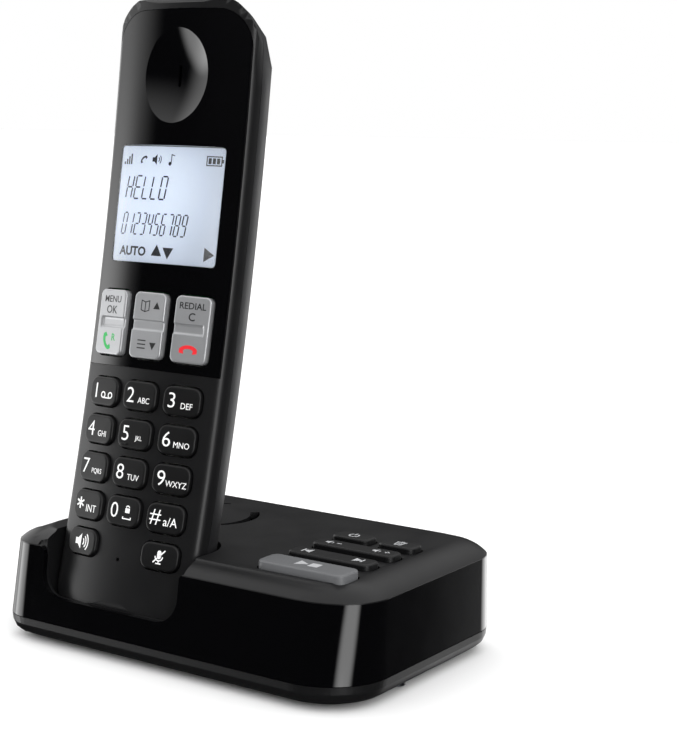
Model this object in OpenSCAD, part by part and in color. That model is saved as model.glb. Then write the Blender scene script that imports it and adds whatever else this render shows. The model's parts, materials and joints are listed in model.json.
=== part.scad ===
// Cordless telephone: a handset standing in the charging cradle of a base with
// an answering machine. Millimetres. The origin is the centre of the base's
// footprint on the table, +X right along the front, +Y to the back, +Z up.

/* [Base] */
// Width of the base
base_w = 113; // [112:0.5:115]
// Depth of the base
base_d = 76.2; // [75.8:0.2:77]
// Corner radius of the base, seen from above
base_r = 17; // [16.5:0.25:17.5]
// Height of the seam between the bottom cover and the gloss band
seam_z = 6.7; // [6.4:0.1:7]
// Height of the rim where the top cover meets the gloss band
rim_z = 26.2; // [26:0.1:26.5]
// Height of the flat part of the top cover
top_z = 29.9; // [29.8:0.1:30]
// Wall thickness of the base covers
base_wall = 1.8; // [1.7:0.05:1.9]

/* [Handset] */
// Width of the handset
handset_w = 46; // [45.8:0.1:46.2]
// Thickness of the handset at its middle
handset_t = 22; // [21.9:0.05:22.1]
// Distance from the key 2 up to the top end
handset_top = 104.1; // [103.5:0.1:104.6]
// Distance from the key 2 down to the bottom end
handset_bottom = 59.5; // [59.2:0.1:59.6]
// Backward lean of the handset in the cradle, in degrees
lean = 12.5; // [12.3:0.1:12.7]
// Wall thickness of the handset shells
shell_wall = 1.8; // [1.75:0.05:1.85]
// Radius of the lengthwise bow of the front face
bow_r = 972; // [950:1:1000]

/* [Keys] */
// Column pitch of the number keys
key_pitch_u = 13; // [12.9:0.05:13.1]
// Row pitch of the number keys
key_pitch_v = 10.05; // [10:0.05:10.1]
// Width of a number key
key_w = 11; // [10.6:0.1:11.2]
// Height of a number key
key_h = 7.65; // [7.4:0.05:7.8]
// How far a number key stands out of the front face
key_proud = 1; // [0.9:0.05:1.1]
// How far the keys of the base stand above its top
base_key_proud = 1.6; // [1.5:0.05:1.7]

/* [Hidden] */

EPS = 0.01;
BIG = 400;

// ---- colours
SATIN = "#2b2b2d";
GLOSS = "#0b0b0c";
DARK = "#1a1a1b";
SILVER = "#a9abad";
METAL = "#c9c9cc";
GOLD = "#c8a850";
BOARD = "#1f5a38";
RUBBER = "#161616";

// ---- base
SHOULDER_W = 8.2;                       // the top rolls down to its rim over this width
SHOULDER_R = (pow(SHOULDER_W, 2) + pow(top_z - rim_z - 0.3, 2)) / (2 * (top_z - rim_z - 0.3));
BAND_T = 1.3;
LIP_H = 0.9;                            // the bottom cover's lip stands this far up in the band
FOOT_R = 4.5;
FOOT_Z = 1.0;
FEET = [[-42, -24], [36, -27], [-34, 28], [36, 28]];
// each screw boss: x, y and the height that it reaches under the top
BOSSES = [[51.3, -8, 27.6], [46, 25, 28.4], [-46, 25, 28.4], [-49.4, -11, 28.4]];
BOSS_R = 3;
BOSS_SPLIT_Z = 12;
SPEAKER = [-20.5, 9.5];
SPEAKER_R = 14;
BOARD_Z = 9;

// each base key: centre x, centre y, width, depth, extra height
PLAY = [35.2, -24.1, 25.5, 8.5, 0.5];
SKIP = [34.4, -11.9, 24.6, 6.2, 0];
VOLUME = [34.6, -1.4, 24.6, 6.0, 0];
POWER = [27.7, 8.3, 11.2, 6.2, 0];
DELETE = [41.6, 8.4, 10.7, 6.2, 0];
BASE_KEYS = [PLAY, SKIP, VOLUME, POWER, DELETE];
BASE_KEY_GAP = 0.45;
BASE_KEY_R = 2;
KEY_BOARD_AT = [33.75, -8];
KEY_BOARD_Z = 21.6;
KEY_BOARD_LEGS = [[22.5, -17.4], [45, -17.4], [22.5, -6.6], [45, -6.6]];

// the opening in the front wall, and the pocket that the handset drops into
CUT_LEFT = -41.8;
CUT_RIGHT = 3.9;
CUT_Z = 13.5;
CUT_R = 6.6;
POCKET_SIDE_GAP = 1.1;
POCKET_BACK_GAP = 0.6;
POCKET_FRONT_Y = -36;
POCKET_FLOOR_V = -59.8;

// jacks in the back wall: centre x and centre z
DC_JACK = [-12, 15.6];
LINE_JACK = [14, 16.6];
BACK_Y = base_d / 2;

// ---- handset frame: u right, v up along the handset, w out of its front face
HANDSET_AT = [-18.7, -22.8, 67.6];
BOW_V = -9.36;
HALF_W = handset_w / 2;
CROWN_R = 76.5;
EDGE_R = 3;
SEAM_DEPTH = 7;
BACK_EDGE_R = 12;
BACK_R = 34;
BACK_C = handset_t - BACK_R;            // depth of the centre of the back's arc
BACK_EDGE_C = BACK_C + sqrt(pow(BACK_R - BACK_EDGE_R, 2) - pow(HALF_W - BACK_EDGE_R, 2));
BACK_TURN = asin((HALF_W - BACK_EDGE_R) / (BACK_R - BACK_EDGE_R));
EDGE_TURN = asin((HALF_W - EDGE_R) / (CROWN_R - EDGE_R));
EDGE_C = CROWN_R - (CROWN_R - EDGE_R) * cos(EDGE_TURN);
PLAN_R = 12;

FASCIA_T = 0.9;
FASCIA_HALF_W = 21.9;
FASCIA_TOP = 100.6;
FASCIA_BOTTOM = 7.2;
FASCIA_R = 9.5;
EAR_V = 83.6;
EAR_R = 12.2;
EAR_DEPTH = 2.4;
EAR_SPHERE = (pow(EAR_R, 2) + pow(EAR_DEPTH, 2)) / (2 * EAR_DEPTH);
EAR_BOSS_R = 13.4;
EAR_BOSS_W = -3.9;
WINDOW_W = 34.7;
WINDOW_H = 31;
WINDOW_V = 50.1;
WINDOW_FLAT_W = -2.2;                   // flat back of the display lens
PANEL_W = 34.2;
PANEL_H = 30.5;

BOARD_V = 10;
BOARD_W = -7.2;                         // back face of the handset's board
BOARD_T = 1.2;
MAT_T = 0.8;
KEY_FLOOR_W = -4;                       // level undersides of the keys, in the board frame

ROCKER_V = 18.45;
ROCKER_W = 10.4;
ROCKER_H = 17.3;
ROCKER_PITCH = 13.2;
ROCKER_PROUD = 1.3;
SIDE_KEY_V = -39.9;
SIDE_KEY_H = 7;

CELL_R = 5.25;
CELL_L = 44.5;
CELL_U = 5.55;
CELL_W = -13.85;
BAY_HALF_V = 25.3;
BAY_HALF_U = 11.3;
DOOR_HALF_U = 14;
DOOR_HALF_V = 29.3;
DOOR_TRAVEL = 4;
DOOR_GAP = 0.3;
RINGER_V = 62;
CONTACT_U = 8;
HANDSET_SCREWS = [[-16, 68.5], [16, 68.5], [-16, -48.5], [16, -48.5]];
CONTACT_W = -9.5;

// ---- shared shapes

// points of an arc, with angles counted anticlockwise from +X
function arc(c, r, a0, a1, n = 6) =
    [for (i = [0 : n]) let (a = a0 + (a1 - a0) * i / n) [c[0] + r * cos(a), c[1] + r * sin(a)]];

// points of a rounded rectangle about its centre
function round_rect(w, h, r, n = 5) = concat(
    arc([w / 2 - r, h / 2 - r], r, 0, 90, n),
    arc([-w / 2 + r, h / 2 - r], r, 90, 180, n),
    arc([-w / 2 + r, -h / 2 + r], r, 180, 270, n),
    arc([w / 2 - r, -h / 2 + r], r, 270, 360, n));

module round_plate(w, h, r, z0, z1, n = 5) {
    translate([0, 0, z0]) linear_extrude(z1 - z0) polygon(round_rect(w, h, r, n));
}

module tube(r_out, r_in, z0, z1) {
    difference() {
        translate([0, 0, z0]) cylinder(r = r_out, h = z1 - z0, $fn = 48);
        translate([0, 0, z0 - 1]) cylinder(r = r_in, h = z1 - z0 + 2, $fn = 48);
    }
}

// A block with the base's outline whose side follows profile, a list of
// [inset, z] from bottom to top. Corners are turned, and sides are straight.
module base_block(profile) {
    z_low = profile[0][1];
    z_high = profile[len(profile) - 1][1];
    right = [for (p = profile) [-p[0], p[1]]];
    left = [for (i = [len(profile) - 1 : -1 : 0]) [profile[i][0], profile[i][1]]];
    for (sx = [-1, 1])
        for (sy = [-1, 1])
            translate([sx * (base_w / 2 - base_r), sy * (base_d / 2 - base_r), 0])
                rotate([0, 0, sx > 0 ? (sy > 0 ? 0 : 270) : (sy > 0 ? 90 : 180)])
                    rotate_extrude(angle = 90, $fn = 96)
                        polygon(concat([[0, z_low]],
                            [for (p = right) [base_r + p[0], p[1]]],
                            [[0, z_high]]));
    translate([0, base_d / 2 - base_r, 0]) rotate([90, 0, 0]) linear_extrude(base_d - 2 * base_r)
        polygon(concat([for (p = right) [base_w / 2 + p[0], p[1]]],
                       [for (p = left) [-base_w / 2 + p[0], p[1]]]));
    translate([-base_w / 2 + base_r, 0, 0]) rotate([90, 0, 90]) linear_extrude(base_w - 2 * base_r)
        polygon(concat([for (p = right) [base_d / 2 + p[0], p[1]]],
                       [for (p = left) [-base_d / 2 + p[0], p[1]]]));
}

// profile of the domed top, from its rim up and in over the rounded shoulder
DOME = concat([[0, rim_z]],
    [for (i = [0 : 8]) let (a = asin(SHOULDER_W / SHOULDER_R) * (1 - i / 8))
        [SHOULDER_W - SHOULDER_R * sin(a), top_z - SHOULDER_R + SHOULDER_R * cos(a)]]);

// puts children, drawn in the handset's u, v, w, where the handset stands
module in_handset() {
    translate(HANDSET_AT) rotate([90 - lean, 0, 0]) children();
}

// a frame that touches the bowed front face at v, with its z out of the face
module on_front(v) {
    translate([0, BOW_V, bow_r]) rotate([asin((v - BOW_V) / bow_r), 0, 0])
        translate([0, 0, -bow_r]) children();
}

// how far the bow brings the front face forward at v
function bow(v) = bow_r - sqrt(pow(bow_r, 2) - pow(v - BOW_V, 2));

// half of the handset's cross-section as [depth, u], pulled in by t
function turned(c, r, a0, a1, n) =
    [for (i = [0 : n]) let (a = a0 + (a1 - a0) * i / n) [c[0] - r * cos(a), c[1] + r * sin(a)]];
function half_section(t) = concat(
    turned([CROWN_R, 0], CROWN_R - t, 0, EDGE_TURN, 6),
    turned([EDGE_C, HALF_W - EDGE_R], EDGE_R - t, EDGE_TURN, 90, 4),
    turned([BACK_EDGE_C, HALF_W - BACK_EDGE_R], BACK_EDGE_R - t, 90, 180 - BACK_TURN, 6),
    turned([BACK_C, 0], BACK_R - t, 180 - BACK_TURN, 180, 5));
function section(t) = let (h = half_section(t), n = len(h))
    concat(h, [for (i = [n - 2 : -1 : 1]) [h[i][0], -h[i][1]]]);

// a [depth, u] outline swept along the bow from v0 to v1
module along_bow(points, v0, v1) {
    a0 = asin((v0 - BOW_V) / bow_r);
    a1 = asin((v1 - BOW_V) / bow_r);
    translate([0, BOW_V, bow_r]) rotate([a0, 0, 0]) rotate([0, 90, 0])
        rotate_extrude(angle = a1 - a0, $fn = 720)
            polygon([for (p = points) [bow_r + p[0], p[1]]]);
}

// the handset's outline seen from the front, pulled in by t
module front_outline(t) {
    top = handset_top - t;
    low = -handset_bottom + t;
    half = HALF_W + 0.05 - t;
    r = PLAN_R - t;
    translate([0, 0, -60]) linear_extrude(120) polygon(concat(
        arc([half - r, top - r], r, 0, 90, 8), arc([-half + r, top - r], r, 90, 180, 8),
        arc([-half + r, low + r], r, 180, 270, 8), arc([half - r, low + r], r, 270, 360, 8)));
}

// the handset's outline seen from the side, which rounds its two ends
module side_outline(t) {
    v1 = handset_top - t;
    v0 = -handset_bottom + t;
    back = -handset_t + t;
    translate([-40, 0, 0]) rotate([90, 0, 90]) linear_extrude(80) polygon(concat(
        [[v0 + 6, 30]], arc([v0 + 6, bow(v0 + 6) - t - 6], 6, 90, 180, 6),
        arc([v0 + 7, bow(v0 + 7) + back + 7], 7, 180, 270, 6), [[v0 + 7, -60], [v1 - 9, -60]],
        arc([v1 - 9, bow(v1 - 9) + back + 9], 9, 270, 360, 6),
        arc([v1 - 3, bow(v1 - 3) - t - 3], 3, 0, 90, 4), [[v1 - 3, 30]]));
}

// the handset's body, pulled in by t
module handset_body(t) {
    intersection() {
        along_bow(section(t), -handset_bottom - 6, handset_top + 6);
        front_outline(t);
        side_outline(t);
    }
}

// everything in front of, or behind, a surface at this depth below the front
module front_of(depth) {
    along_bow([[-40, -40], [depth, -40], [depth, 40], [-40, 40]], -handset_bottom - 8, handset_top + 8);
}
module behind(depth) {
    along_bow([[depth, -40], [60, -40], [60, 40], [depth, 40]], -handset_bottom - 8, handset_top + 8);
}

// the outline of the fascia, grown by g
module fascia_outline(g) {
    half = FASCIA_HALF_W + g;
    r = FASCIA_R + g;
    top = FASCIA_TOP + g;
    translate([0, 0, -60]) linear_extrude(120) polygon(concat(
        arc([half - r, top - r], r, 0, 90, 8), arc([-half + r, top - r], r, 90, 180, 8),
        [[-half, FASCIA_BOTTOM - g], [half, FASCIA_BOTTOM - g]]));
}

// ---- key places on the handset
function key_u(column) = (column - 1) * key_pitch_u;
function key_v(row) = -row * key_pitch_v;
function crown(u) = CROWN_R - sqrt(pow(CROWN_R, 2) - pow(u, 2));

module at_key(u, v) {
    on_front(v) translate([u, 0, -crown(u)]) rotate([0, asin(u / CROWN_R), 0]) children();
}

module key_holes(g) {
    for (row = [0 : 3])
        for (column = [0 : 2])
            at_key(key_u(column), key_v(row)) round_plate(key_w + 2 * g, key_h + 2 * g, 2.5 + g, -12, 12);
    for (side = [-1, 1])
        at_key(side * key_pitch_u, SIDE_KEY_V)
            round_plate(key_w + 2 * g, SIDE_KEY_H + 2 * g, 2.5 + g, -12, 12);
}

module rocker_holes(g) {
    for (side = [-1 : 1])
        at_key(side * ROCKER_PITCH, ROCKER_V)
            round_plate(ROCKER_W + 2 * g, ROCKER_H + 2 * g, 1.6 + g, -12, 12);
}

// ======================= base =======================

SKIRT = [[4.2, 1], [2.4, 1.7], [0.9, 3], [0.2, 4.6], [0, seam_z - 0.2]];

module base_bottom_cover() {
    color(SATIN) difference() {
        union() {
            difference() {
                union() {
                    base_block(SKIRT);
                    base_block([[BAND_T + 0.1, seam_z - 1], [BAND_T + 0.1, seam_z + LIP_H]]);
                }
                base_block([[6, 2.8], [2.7, 4.6], [2.7, seam_z + 3]]);
            }
            for (b = BOSSES) translate([b[0], b[1], 0]) tube(BOSS_R, 1.5, 2.5, BOSS_SPLIT_Z);
            for (p = [[-26, 32], [0, 32], [28, 32], [20, -20], [44, 0], [-34, 4], [-8, 4]])
                translate([p[0], p[1], 2.5]) cylinder(r = 1.6, h = BOARD_Z - 2.5, $fn = 32);
        }
        for (b = BOSSES) translate([b[0], b[1], -1]) cylinder(r = 1.5, h = 10, $fn = 32);
        for (b = BOSSES) translate([b[0], b[1], -1]) cylinder(r = 2.6, h = 3.4, $fn = 32);
        for (f = FEET) translate([f[0], f[1], 0]) cylinder(r = FOOT_R, h = FOOT_Z + 0.5, $fn = 48);
        // vent slots under the board
        for (i = [-4 : 4]) translate([18 + 4 * i, 6, 0]) round_plate(1.4, 16, 0.6, 0, 4, 3);
    }
}

module base_gloss_band() {
    color(GLOSS) difference() {
        base_block([[0, seam_z], [0, rim_z]]);
        base_block([[BAND_T, seam_z - 1], [BAND_T, rim_z + 1]]);
        front_cut();
        translate([DC_JACK[0], BACK_Y + 3, DC_JACK[1]]) rotate([90, 0, 0]) cylinder(r = 4.2, h = 8, $fn = 48);
        translate([LINE_JACK[0] - 5.6, BACK_Y - 4, LINE_JACK[1] - 4.4]) cube([11.2, 8, 8.8]);
    }
}

// the opening in the front wall that shows the foot of the handset
module front_cut() {
    translate([0, POCKET_FRONT_Y + EPS, 0]) rotate([90, 0, 0]) linear_extrude(10) polygon(concat(
        arc([CUT_LEFT - 3, rim_z - 2.7], 3, 90, 0, 5),
        arc([CUT_LEFT + CUT_R, CUT_Z + CUT_R], CUT_R, 180, 270, 7),
        arc([CUT_RIGHT - CUT_R, CUT_Z + CUT_R], CUT_R, 270, 360, 7),
        arc([CUT_RIGHT + 1.4, rim_z - 1.1], 1.4, 180, 90, 4),
        [[CUT_RIGHT + 1.4, 40], [CUT_LEFT - 3, 40]]));
}

// the pocket's cross-section, straight along v, grown by g
module pocket(g, v0) {
    half = HALF_W + POCKET_SIDE_GAP;
    grow = (half + g) / HALF_W;
    back_grow = POCKET_BACK_GAP + g;
    walls = [for (p = section(0)) if (p[0] > EDGE_C)
        [p[1] * grow, p[0] + back_grow * (p[0] - EDGE_C) / (handset_t - EDGE_C)]];
    in_handset() translate([0, v0, 0.4]) rotate([-90, 0, 0]) linear_extrude(60)
        polygon(concat([[-half - g, -12], [half + g, -12]],
            [for (p = walls) if (p[0] > 0) p],
            [[0, handset_t + back_grow]],
            [for (p = walls) if (p[0] < 0) p]));
}

// one of the two curved slots over the loudspeaker
module speaker_slot() {
    a0 = -77;
    a1 = 46;
    translate([0, 0, top_z - 6]) linear_extrude(12) intersection() {
        difference() {
            circle(r = 13.4, $fn = 96);
            translate([1.23 * cos(226), 1.23 * sin(226)]) circle(r = 12.03, $fn = 96);
        }
        polygon(concat([[0, 0]], arc([0, 0], 20, a0, a1, 8)));
    }
}

module base_top_cover() {
    color(SATIN) difference() {
        union() {
            difference() {
                union() {
                    base_block(DOME);
                    base_block([[BAND_T + 0.1, rim_z - 4], [BAND_T + 0.1, rim_z + 0.5]]);
                }
                base_block([[3.4, rim_z - 5], [3.4, rim_z + 0.2], [5.2, rim_z + 1.2],
                            [8.2, top_z - base_wall]]);
            }
            intersection() {
                pocket(base_wall, POCKET_FLOOR_V - 1.4);
                base_block([[BAND_T, 3], [BAND_T, rim_z], [8, top_z - 0.5]]);
            }
            for (b = BOSSES)
                translate([b[0], b[1], 0]) tube(BOSS_R, 1.1, BOSS_SPLIT_Z + 0.1, b[2]);
            for (p = KEY_BOARD_LEGS)
                translate([p[0], p[1], KEY_BOARD_Z + 1.6]) cylinder(r = 0.9, h = 5.5, $fn = 24);
        }
        intersection() {
            pocket(0, POCKET_FLOOR_V);
            translate([-BIG / 2, POCKET_FRONT_Y, 0]) cube([BIG, BIG, BIG]);
        }
        front_cut();
        for (k = BASE_KEYS) translate([k[0], k[1], 0])
            round_plate(k[2] + 2 * BASE_KEY_GAP, k[3] + 2 * BASE_KEY_GAP, BASE_KEY_R + BASE_KEY_GAP, 20, 40);
        for (turn = [0, 180]) translate([SPEAKER[0], SPEAKER[1], 0]) rotate([0, 0, turn]) speaker_slot();
        for (side = [-1, 1]) in_handset()
            translate([side * CONTACT_U, POCKET_FLOOR_V + 3, CONTACT_W]) rotate([90, 0, 0])
                linear_extrude(8) polygon(round_rect(3.4, 6.4, 0.8, 3));
    }
}

module base_feet() {
    color(RUBBER) for (f = FEET) translate([f[0], f[1], 0]) {
        cylinder(r1 = FOOT_R - 0.7, r2 = FOOT_R - 0.1, h = FOOT_Z, $fn = 48);
        translate([0, 0, FOOT_Z - EPS]) cylinder(r = FOOT_R - 0.1, h = 0.5, $fn = 48);
    }
}

module screw(length, r, head_r, head_h) {
    difference() {
        union() {
            cylinder(r = head_r, h = head_h, $fn = 32);
            translate([0, 0, head_h - EPS]) cylinder(r = r, h = length, $fn = 32);
        }
        for (turn = [0, 90]) rotate([0, 0, turn])
            translate([-head_r * 0.6, -0.3, -1]) cube([head_r * 1.2, 0.6, 1.7]);
    }
}

module base_screws() {
    color(METAL) for (b = BOSSES) translate([b[0], b[1], 0.6]) screw(14, 1.05, 2.3, 1.7);
}

module base_board() {
    color(BOARD) difference() {
        translate([0, 0, BOARD_Z]) linear_extrude(1.6)
            polygon([[-49, -2], [-35, -2], [11, -2], [11, -33], [40, -33], [51, -20],
                     [51, 20], [40, 35], [-40, 35], [-51, 20]]);
        for (b = BOSSES) translate([b[0], b[1], 0]) cylinder(r = BOSS_R + 0.5, h = 30, $fn = 32);
    }
}

module base_board_parts() {
    color("#3a3d40") translate([0, 0, BOARD_Z + 1.6]) {
        translate([18, -14, 0]) cube([10, 10, 1.1]);
        translate([32, -16, 0]) cube([8, 6, 1.1]);
        translate([16, 2, 0]) cube([20, 15, 3]);
        translate([-40, 20, 0]) cylinder(r = 3.2, h = 8, $fn = 32);
        translate([-32, 22, 0]) cylinder(r = 2.6, h = 7, $fn = 32);
        translate([-30, 4, 0]) cube([7, 5, 1.1]);
        translate([30, 22, 0]) cube([8, 8, 6]);
        translate([-48, 2, 0]) cube([1, 14, 10]);
    }
}

module base_key_board() {
    color(BOARD) translate(KEY_BOARD_AT) round_plate(27.5, 42, 1.5, KEY_BOARD_Z, KEY_BOARD_Z + 1.6, 3);
}

module base_key_mat() {
    color("#8c8c88") {
        difference() {
            translate(KEY_BOARD_AT) round_plate(26.5, 41, 1.5, KEY_BOARD_Z + 1.6, KEY_BOARD_Z + 2.4, 3);
            for (p = KEY_BOARD_LEGS) translate([p[0], p[1], KEY_BOARD_Z]) cylinder(r = 1.2, h = 4, $fn = 24);
        }
        for (p = [[PLAY[0], PLAY[1]], [SKIP[0] - 8, SKIP[1]], [SKIP[0] + 8, SKIP[1]],
                  [VOLUME[0] - 8, VOLUME[1]], [VOLUME[0] + 8, VOLUME[1]],
                  [POWER[0], POWER[1]], [DELETE[0], DELETE[1]]])
            translate([p[0], p[1], KEY_BOARD_Z + 2.4 - EPS]) cylinder(r1 = 2.4, r2 = 1.6, h = 1.2, $fn = 32);
    }
}

module base_speaker() {
    color("#4a4b4e") translate([SPEAKER[0], SPEAKER[1], 0]) {
        difference() {
            translate([0, 0, 23.4]) cylinder(r = SPEAKER_R, h = 3.6, $fn = 64);
            translate([0, 0, 24.4]) cylinder(r = SPEAKER_R - 1.4, h = 4, $fn = 64);
        }
        translate([0, 0, 19.2]) cylinder(r = 8, h = 4.2 + EPS, $fn = 64);
    }
}

module base_speaker_cone() {
    color("#222224") translate([SPEAKER[0], SPEAKER[1], 0]) difference() {
        translate([0, 0, 24.5]) cylinder(r1 = 6, r2 = SPEAKER_R - 1.6, h = 2.2, $fn = 64);
        translate([0, 0, 25]) cylinder(r1 = 5, r2 = SPEAKER_R - 2, h = 2.2, $fn = 64);
    }
}

module base_speaker_gasket() {
    color("#2a2a2a") translate([SPEAKER[0], SPEAKER[1], 0])
        tube(SPEAKER_R, SPEAKER_R - 0.5, 27, top_z - base_wall);
}

module dc_jack() {
    color(DARK) translate([DC_JACK[0], BACK_Y - BAND_T - 0.2, DC_JACK[1]]) {
        difference() {
            translate([-4.5, -13, -5]) cube([9, 13, 10]);
            rotate([90, 0, 0]) translate([0, 0, -1]) cylinder(r = 2.9, h = 11, $fn = 48);
        }
        rotate([90, 0, 0]) translate([0, 0, 1]) cylinder(r = 0.95, h = 10, $fn = 32);
    }
}

module line_jack() {
    color(DARK) translate([LINE_JACK[0], BACK_Y - BAND_T - 0.2, LINE_JACK[1]]) difference() {
        translate([-6.6, -15, -6]) cube([13.2, 15, 11.4]);
        translate([-4.85, -12, -3.4]) cube([9.7, 14, 6.8]);
        translate([-3.1, -12, -4.6]) cube([6.2, 14, 2]);
        for (i = [-2 : 2]) translate([i * 1.02 - 0.2, -10, 3]) cube([0.4, 12, 0.9]);
    }
}

module cradle_contact(side) {
    color(GOLD) in_handset() translate([side * CONTACT_U, POCKET_FLOOR_V, CONTACT_W]) rotate([90, 0, 0]) {
        translate([0, 0, -0.05]) linear_extrude(2.1) polygon(round_rect(2.6, 5.6, 0.6, 3));
        translate([0, 0, 1.6]) linear_extrude(0.5) polygon(round_rect(4.4, 7.6, 0.6, 3));
    }
}
module cradle_contact_left() cradle_contact(-1);
module cradle_contact_right() cradle_contact(1);

// a press key of the base, whose flange stops under the top cover
module base_press_key(k, tone) {
    color(tone) translate([k[0], k[1], 0]) {
        round_plate(k[2], k[3], BASE_KEY_R, 26.3, top_z + base_key_proud + k[4] - 0.6);
        round_plate(k[2] - 0.8, k[3] - 0.8, BASE_KEY_R - 0.4, top_z, top_z + base_key_proud + k[4]);
        round_plate(k[2] + 2, k[3] + 2, BASE_KEY_R + 1, 26.3, 27.1);
    }
}

// a rocker of the base, whose flange has room to tip under the top cover
module base_rocker_key(k) {
    color(DARK) translate([k[0], k[1], 0]) {
        round_plate(k[2], k[3], BASE_KEY_R, 26.2, top_z + base_key_proud - 0.6);
        round_plate(k[2] - 0.8, k[3] - 0.8, BASE_KEY_R - 0.4, top_z, top_z + base_key_proud);
        round_plate(k[2] + 2, k[3] + 2, BASE_KEY_R + 1, 26.1, 27);
    }
}
module play_key() base_press_key(PLAY, "#6d6e70");
module skip_rocker() base_rocker_key(SKIP);
module volume_rocker() base_rocker_key(VOLUME);
module power_key() base_press_key(POWER, DARK);
module delete_key() base_press_key(DELETE, DARK);

// ======================= handset =======================

module handset_front_shell() {
    color(SATIN) in_handset() difference() {
        intersection() {
            handset_body(0);
            front_of(SEAM_DEPTH);
        }
        handset_body(shell_wall);
        intersection() {
            fascia_outline(0.15);
            front_of_crown(FASCIA_T);
        }
        on_front(EAR_V) translate([0, 0, -12]) cylinder(r = EAR_BOSS_R + 0.3, h = 24, $fn = 64);
        on_front(WINDOW_V) round_plate(PANEL_W + 0.6, PANEL_H + 0.6, 1, -12, 12, 3);
        key_holes(0.35);
        rocker_holes(0.5);
        on_front(-42.7) translate([0, 0, -6]) cylinder(r = 0.5, h = 12, $fn = 24);
    }
}

// everything in front of the crowned face lowered by t
module front_of_crown(t) {
    n = 12;
    along_bow(concat([for (i = [-n : n]) let (u = 24 * i / n) [crown(u) + t, u]], [[-30, 24], [-30, -24]]),
        -handset_bottom - 8, handset_top + 8);
}

module handset_fascia() {
    color(GLOSS) in_handset() difference() {
        union() {
            intersection() {
                handset_body(0);
                fascia_outline(0);
                front_of_crown(FASCIA_T);
            }
            intersection() {
                on_front(EAR_V) translate([0, 0, EAR_BOSS_W]) cylinder(r = EAR_BOSS_R, h = 12, $fn = 64);
                handset_body(0);
            }
        }
        on_front(EAR_V) translate([0, 0, EAR_SPHERE - EAR_DEPTH]) sphere(r = EAR_SPHERE, $fn = 96);
        on_front(EAR_V) round_plate(0.9, 5.6, 0.4, -12, 12, 3);
        on_front(WINDOW_V) round_plate(WINDOW_W, WINDOW_H, 1.2, -12, 12, 4);
        rocker_holes(0.45);
    }
}

module display_lens() {
    color("#9fb4c8", 0.5) in_handset() on_front(WINDOW_V) intersection() {
        round_plate(WINDOW_W - 0.1, WINDOW_H - 0.1, 1.15, WINDOW_FLAT_W, 6, 4);
        translate([0, 20, 0]) rotate([90, 0, 0]) linear_extrude(40) polygon(concat(
            [for (i = [-12 : 12]) let (u = 20 * i / 12) [u, -crown(u)]], [[20, -8], [-20, -8]]));
    }
}

module display_panel() {
    color("#dfe9f5") in_handset() on_front(WINDOW_V)
        round_plate(PANEL_W, PANEL_H, 0.8, -3.9, WINDOW_FLAT_W - 0.05, 3);
}

module display_backlight() {
    color("#f4f6f8") in_handset() on_front(WINDOW_V)
        round_plate(PANEL_W - 1, PANEL_H - 1, 0.8, -5, -3.95, 3);
}

// a plate in the handset's board frame
module board_plate(w, h, r, v, z0, z1) {
    on_front(BOARD_V) translate([0, v - BOARD_V, 0]) round_plate(w, h, r, z0, z1, 4);
}

module handset_board() {
    color(BOARD) in_handset() difference() {
        board_plate(40, 122, 6, 10, BOARD_W, BOARD_W + BOARD_T);
        for (s = HANDSET_SCREWS) on_front(BOARD_V)
            translate([s[0], s[1] - BOARD_V, -12]) cylinder(r = 1.1, h = 12, $fn = 32);
    }
}

module handset_board_parts() {
    color("#3a3d40") in_handset() on_front(BOARD_V) translate([0, -BOARD_V, 0]) {
        translate([-15, 36, BOARD_W - 2.4]) cube([17, 14, 2.4]);
        translate([5, 38, BOARD_W - 1]) cube([8, 8, 1]);
        translate([5, -48, BOARD_W - 1]) cube([6, 9, 1]);
        translate([-12, -49, BOARD_W - 1.6]) cube([5, 10, 1.6]);
    }
}

module keypad_mat() {
    color("#d8d8d2") in_handset() {
        board_plate(34, 73, 4, -9.5, BOARD_W + BOARD_T, BOARD_W + BOARD_T + MAT_T);
        on_front(BOARD_V) translate([0, -BOARD_V, BOARD_W + BOARD_T + MAT_T - EPS]) {
            for (row = [0 : 3])
                for (column = [0 : 2])
                    translate([key_u(column), key_v(row), 0])
                        cylinder(r1 = 2.6, r2 = 1.8, h = 0.35, $fn = 32);
            for (side = [-1, 1])
                translate([side * key_pitch_u, SIDE_KEY_V, 0])
                    cylinder(r1 = 2.6, r2 = 1.8, h = 0.35, $fn = 32);
            for (side = [-1 : 1])
                for (end = [-1, 1])
                    translate([side * ROCKER_PITCH, ROCKER_V + end * 5, 0])
                        cylinder(r1 = 2.2, r2 = 1.5, h = 0.3, $fn = 32);
        }
    }
}

module ear_speaker() {
    color("#4a4b4e") in_handset() on_front(EAR_V) {
        tube(9, 7.8, EAR_BOSS_W - 2.8, EAR_BOSS_W - 0.8);
        translate([0, 0, EAR_BOSS_W - 3.4]) cylinder(r = 9, h = 1.2, $fn = 64);
        translate([0, 0, EAR_BOSS_W - 4.6]) cylinder(r = 5, h = 1.2 + EPS, $fn = 64);
    }
}

module ear_gasket() {
    color("#2a2a2a") in_handset() on_front(EAR_V) tube(9.4, 7, EAR_BOSS_W - 0.8, EAR_BOSS_W);
}

module ringer_speaker() {
    color("#4a4b4e") in_handset() on_front(RINGER_V) {
        translate([0, 0, -18.6]) cylinder(r = 9, h = 2.4, $fn = 64);
        translate([0, 0, -16.4]) cylinder(r = 5.5, h = 2.8, $fn = 64);
    }
}

module microphone() {
    color(RUBBER) in_handset() on_front(-42.7) tube(2.4, 0.5, -3.6, -1.95);
}

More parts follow.
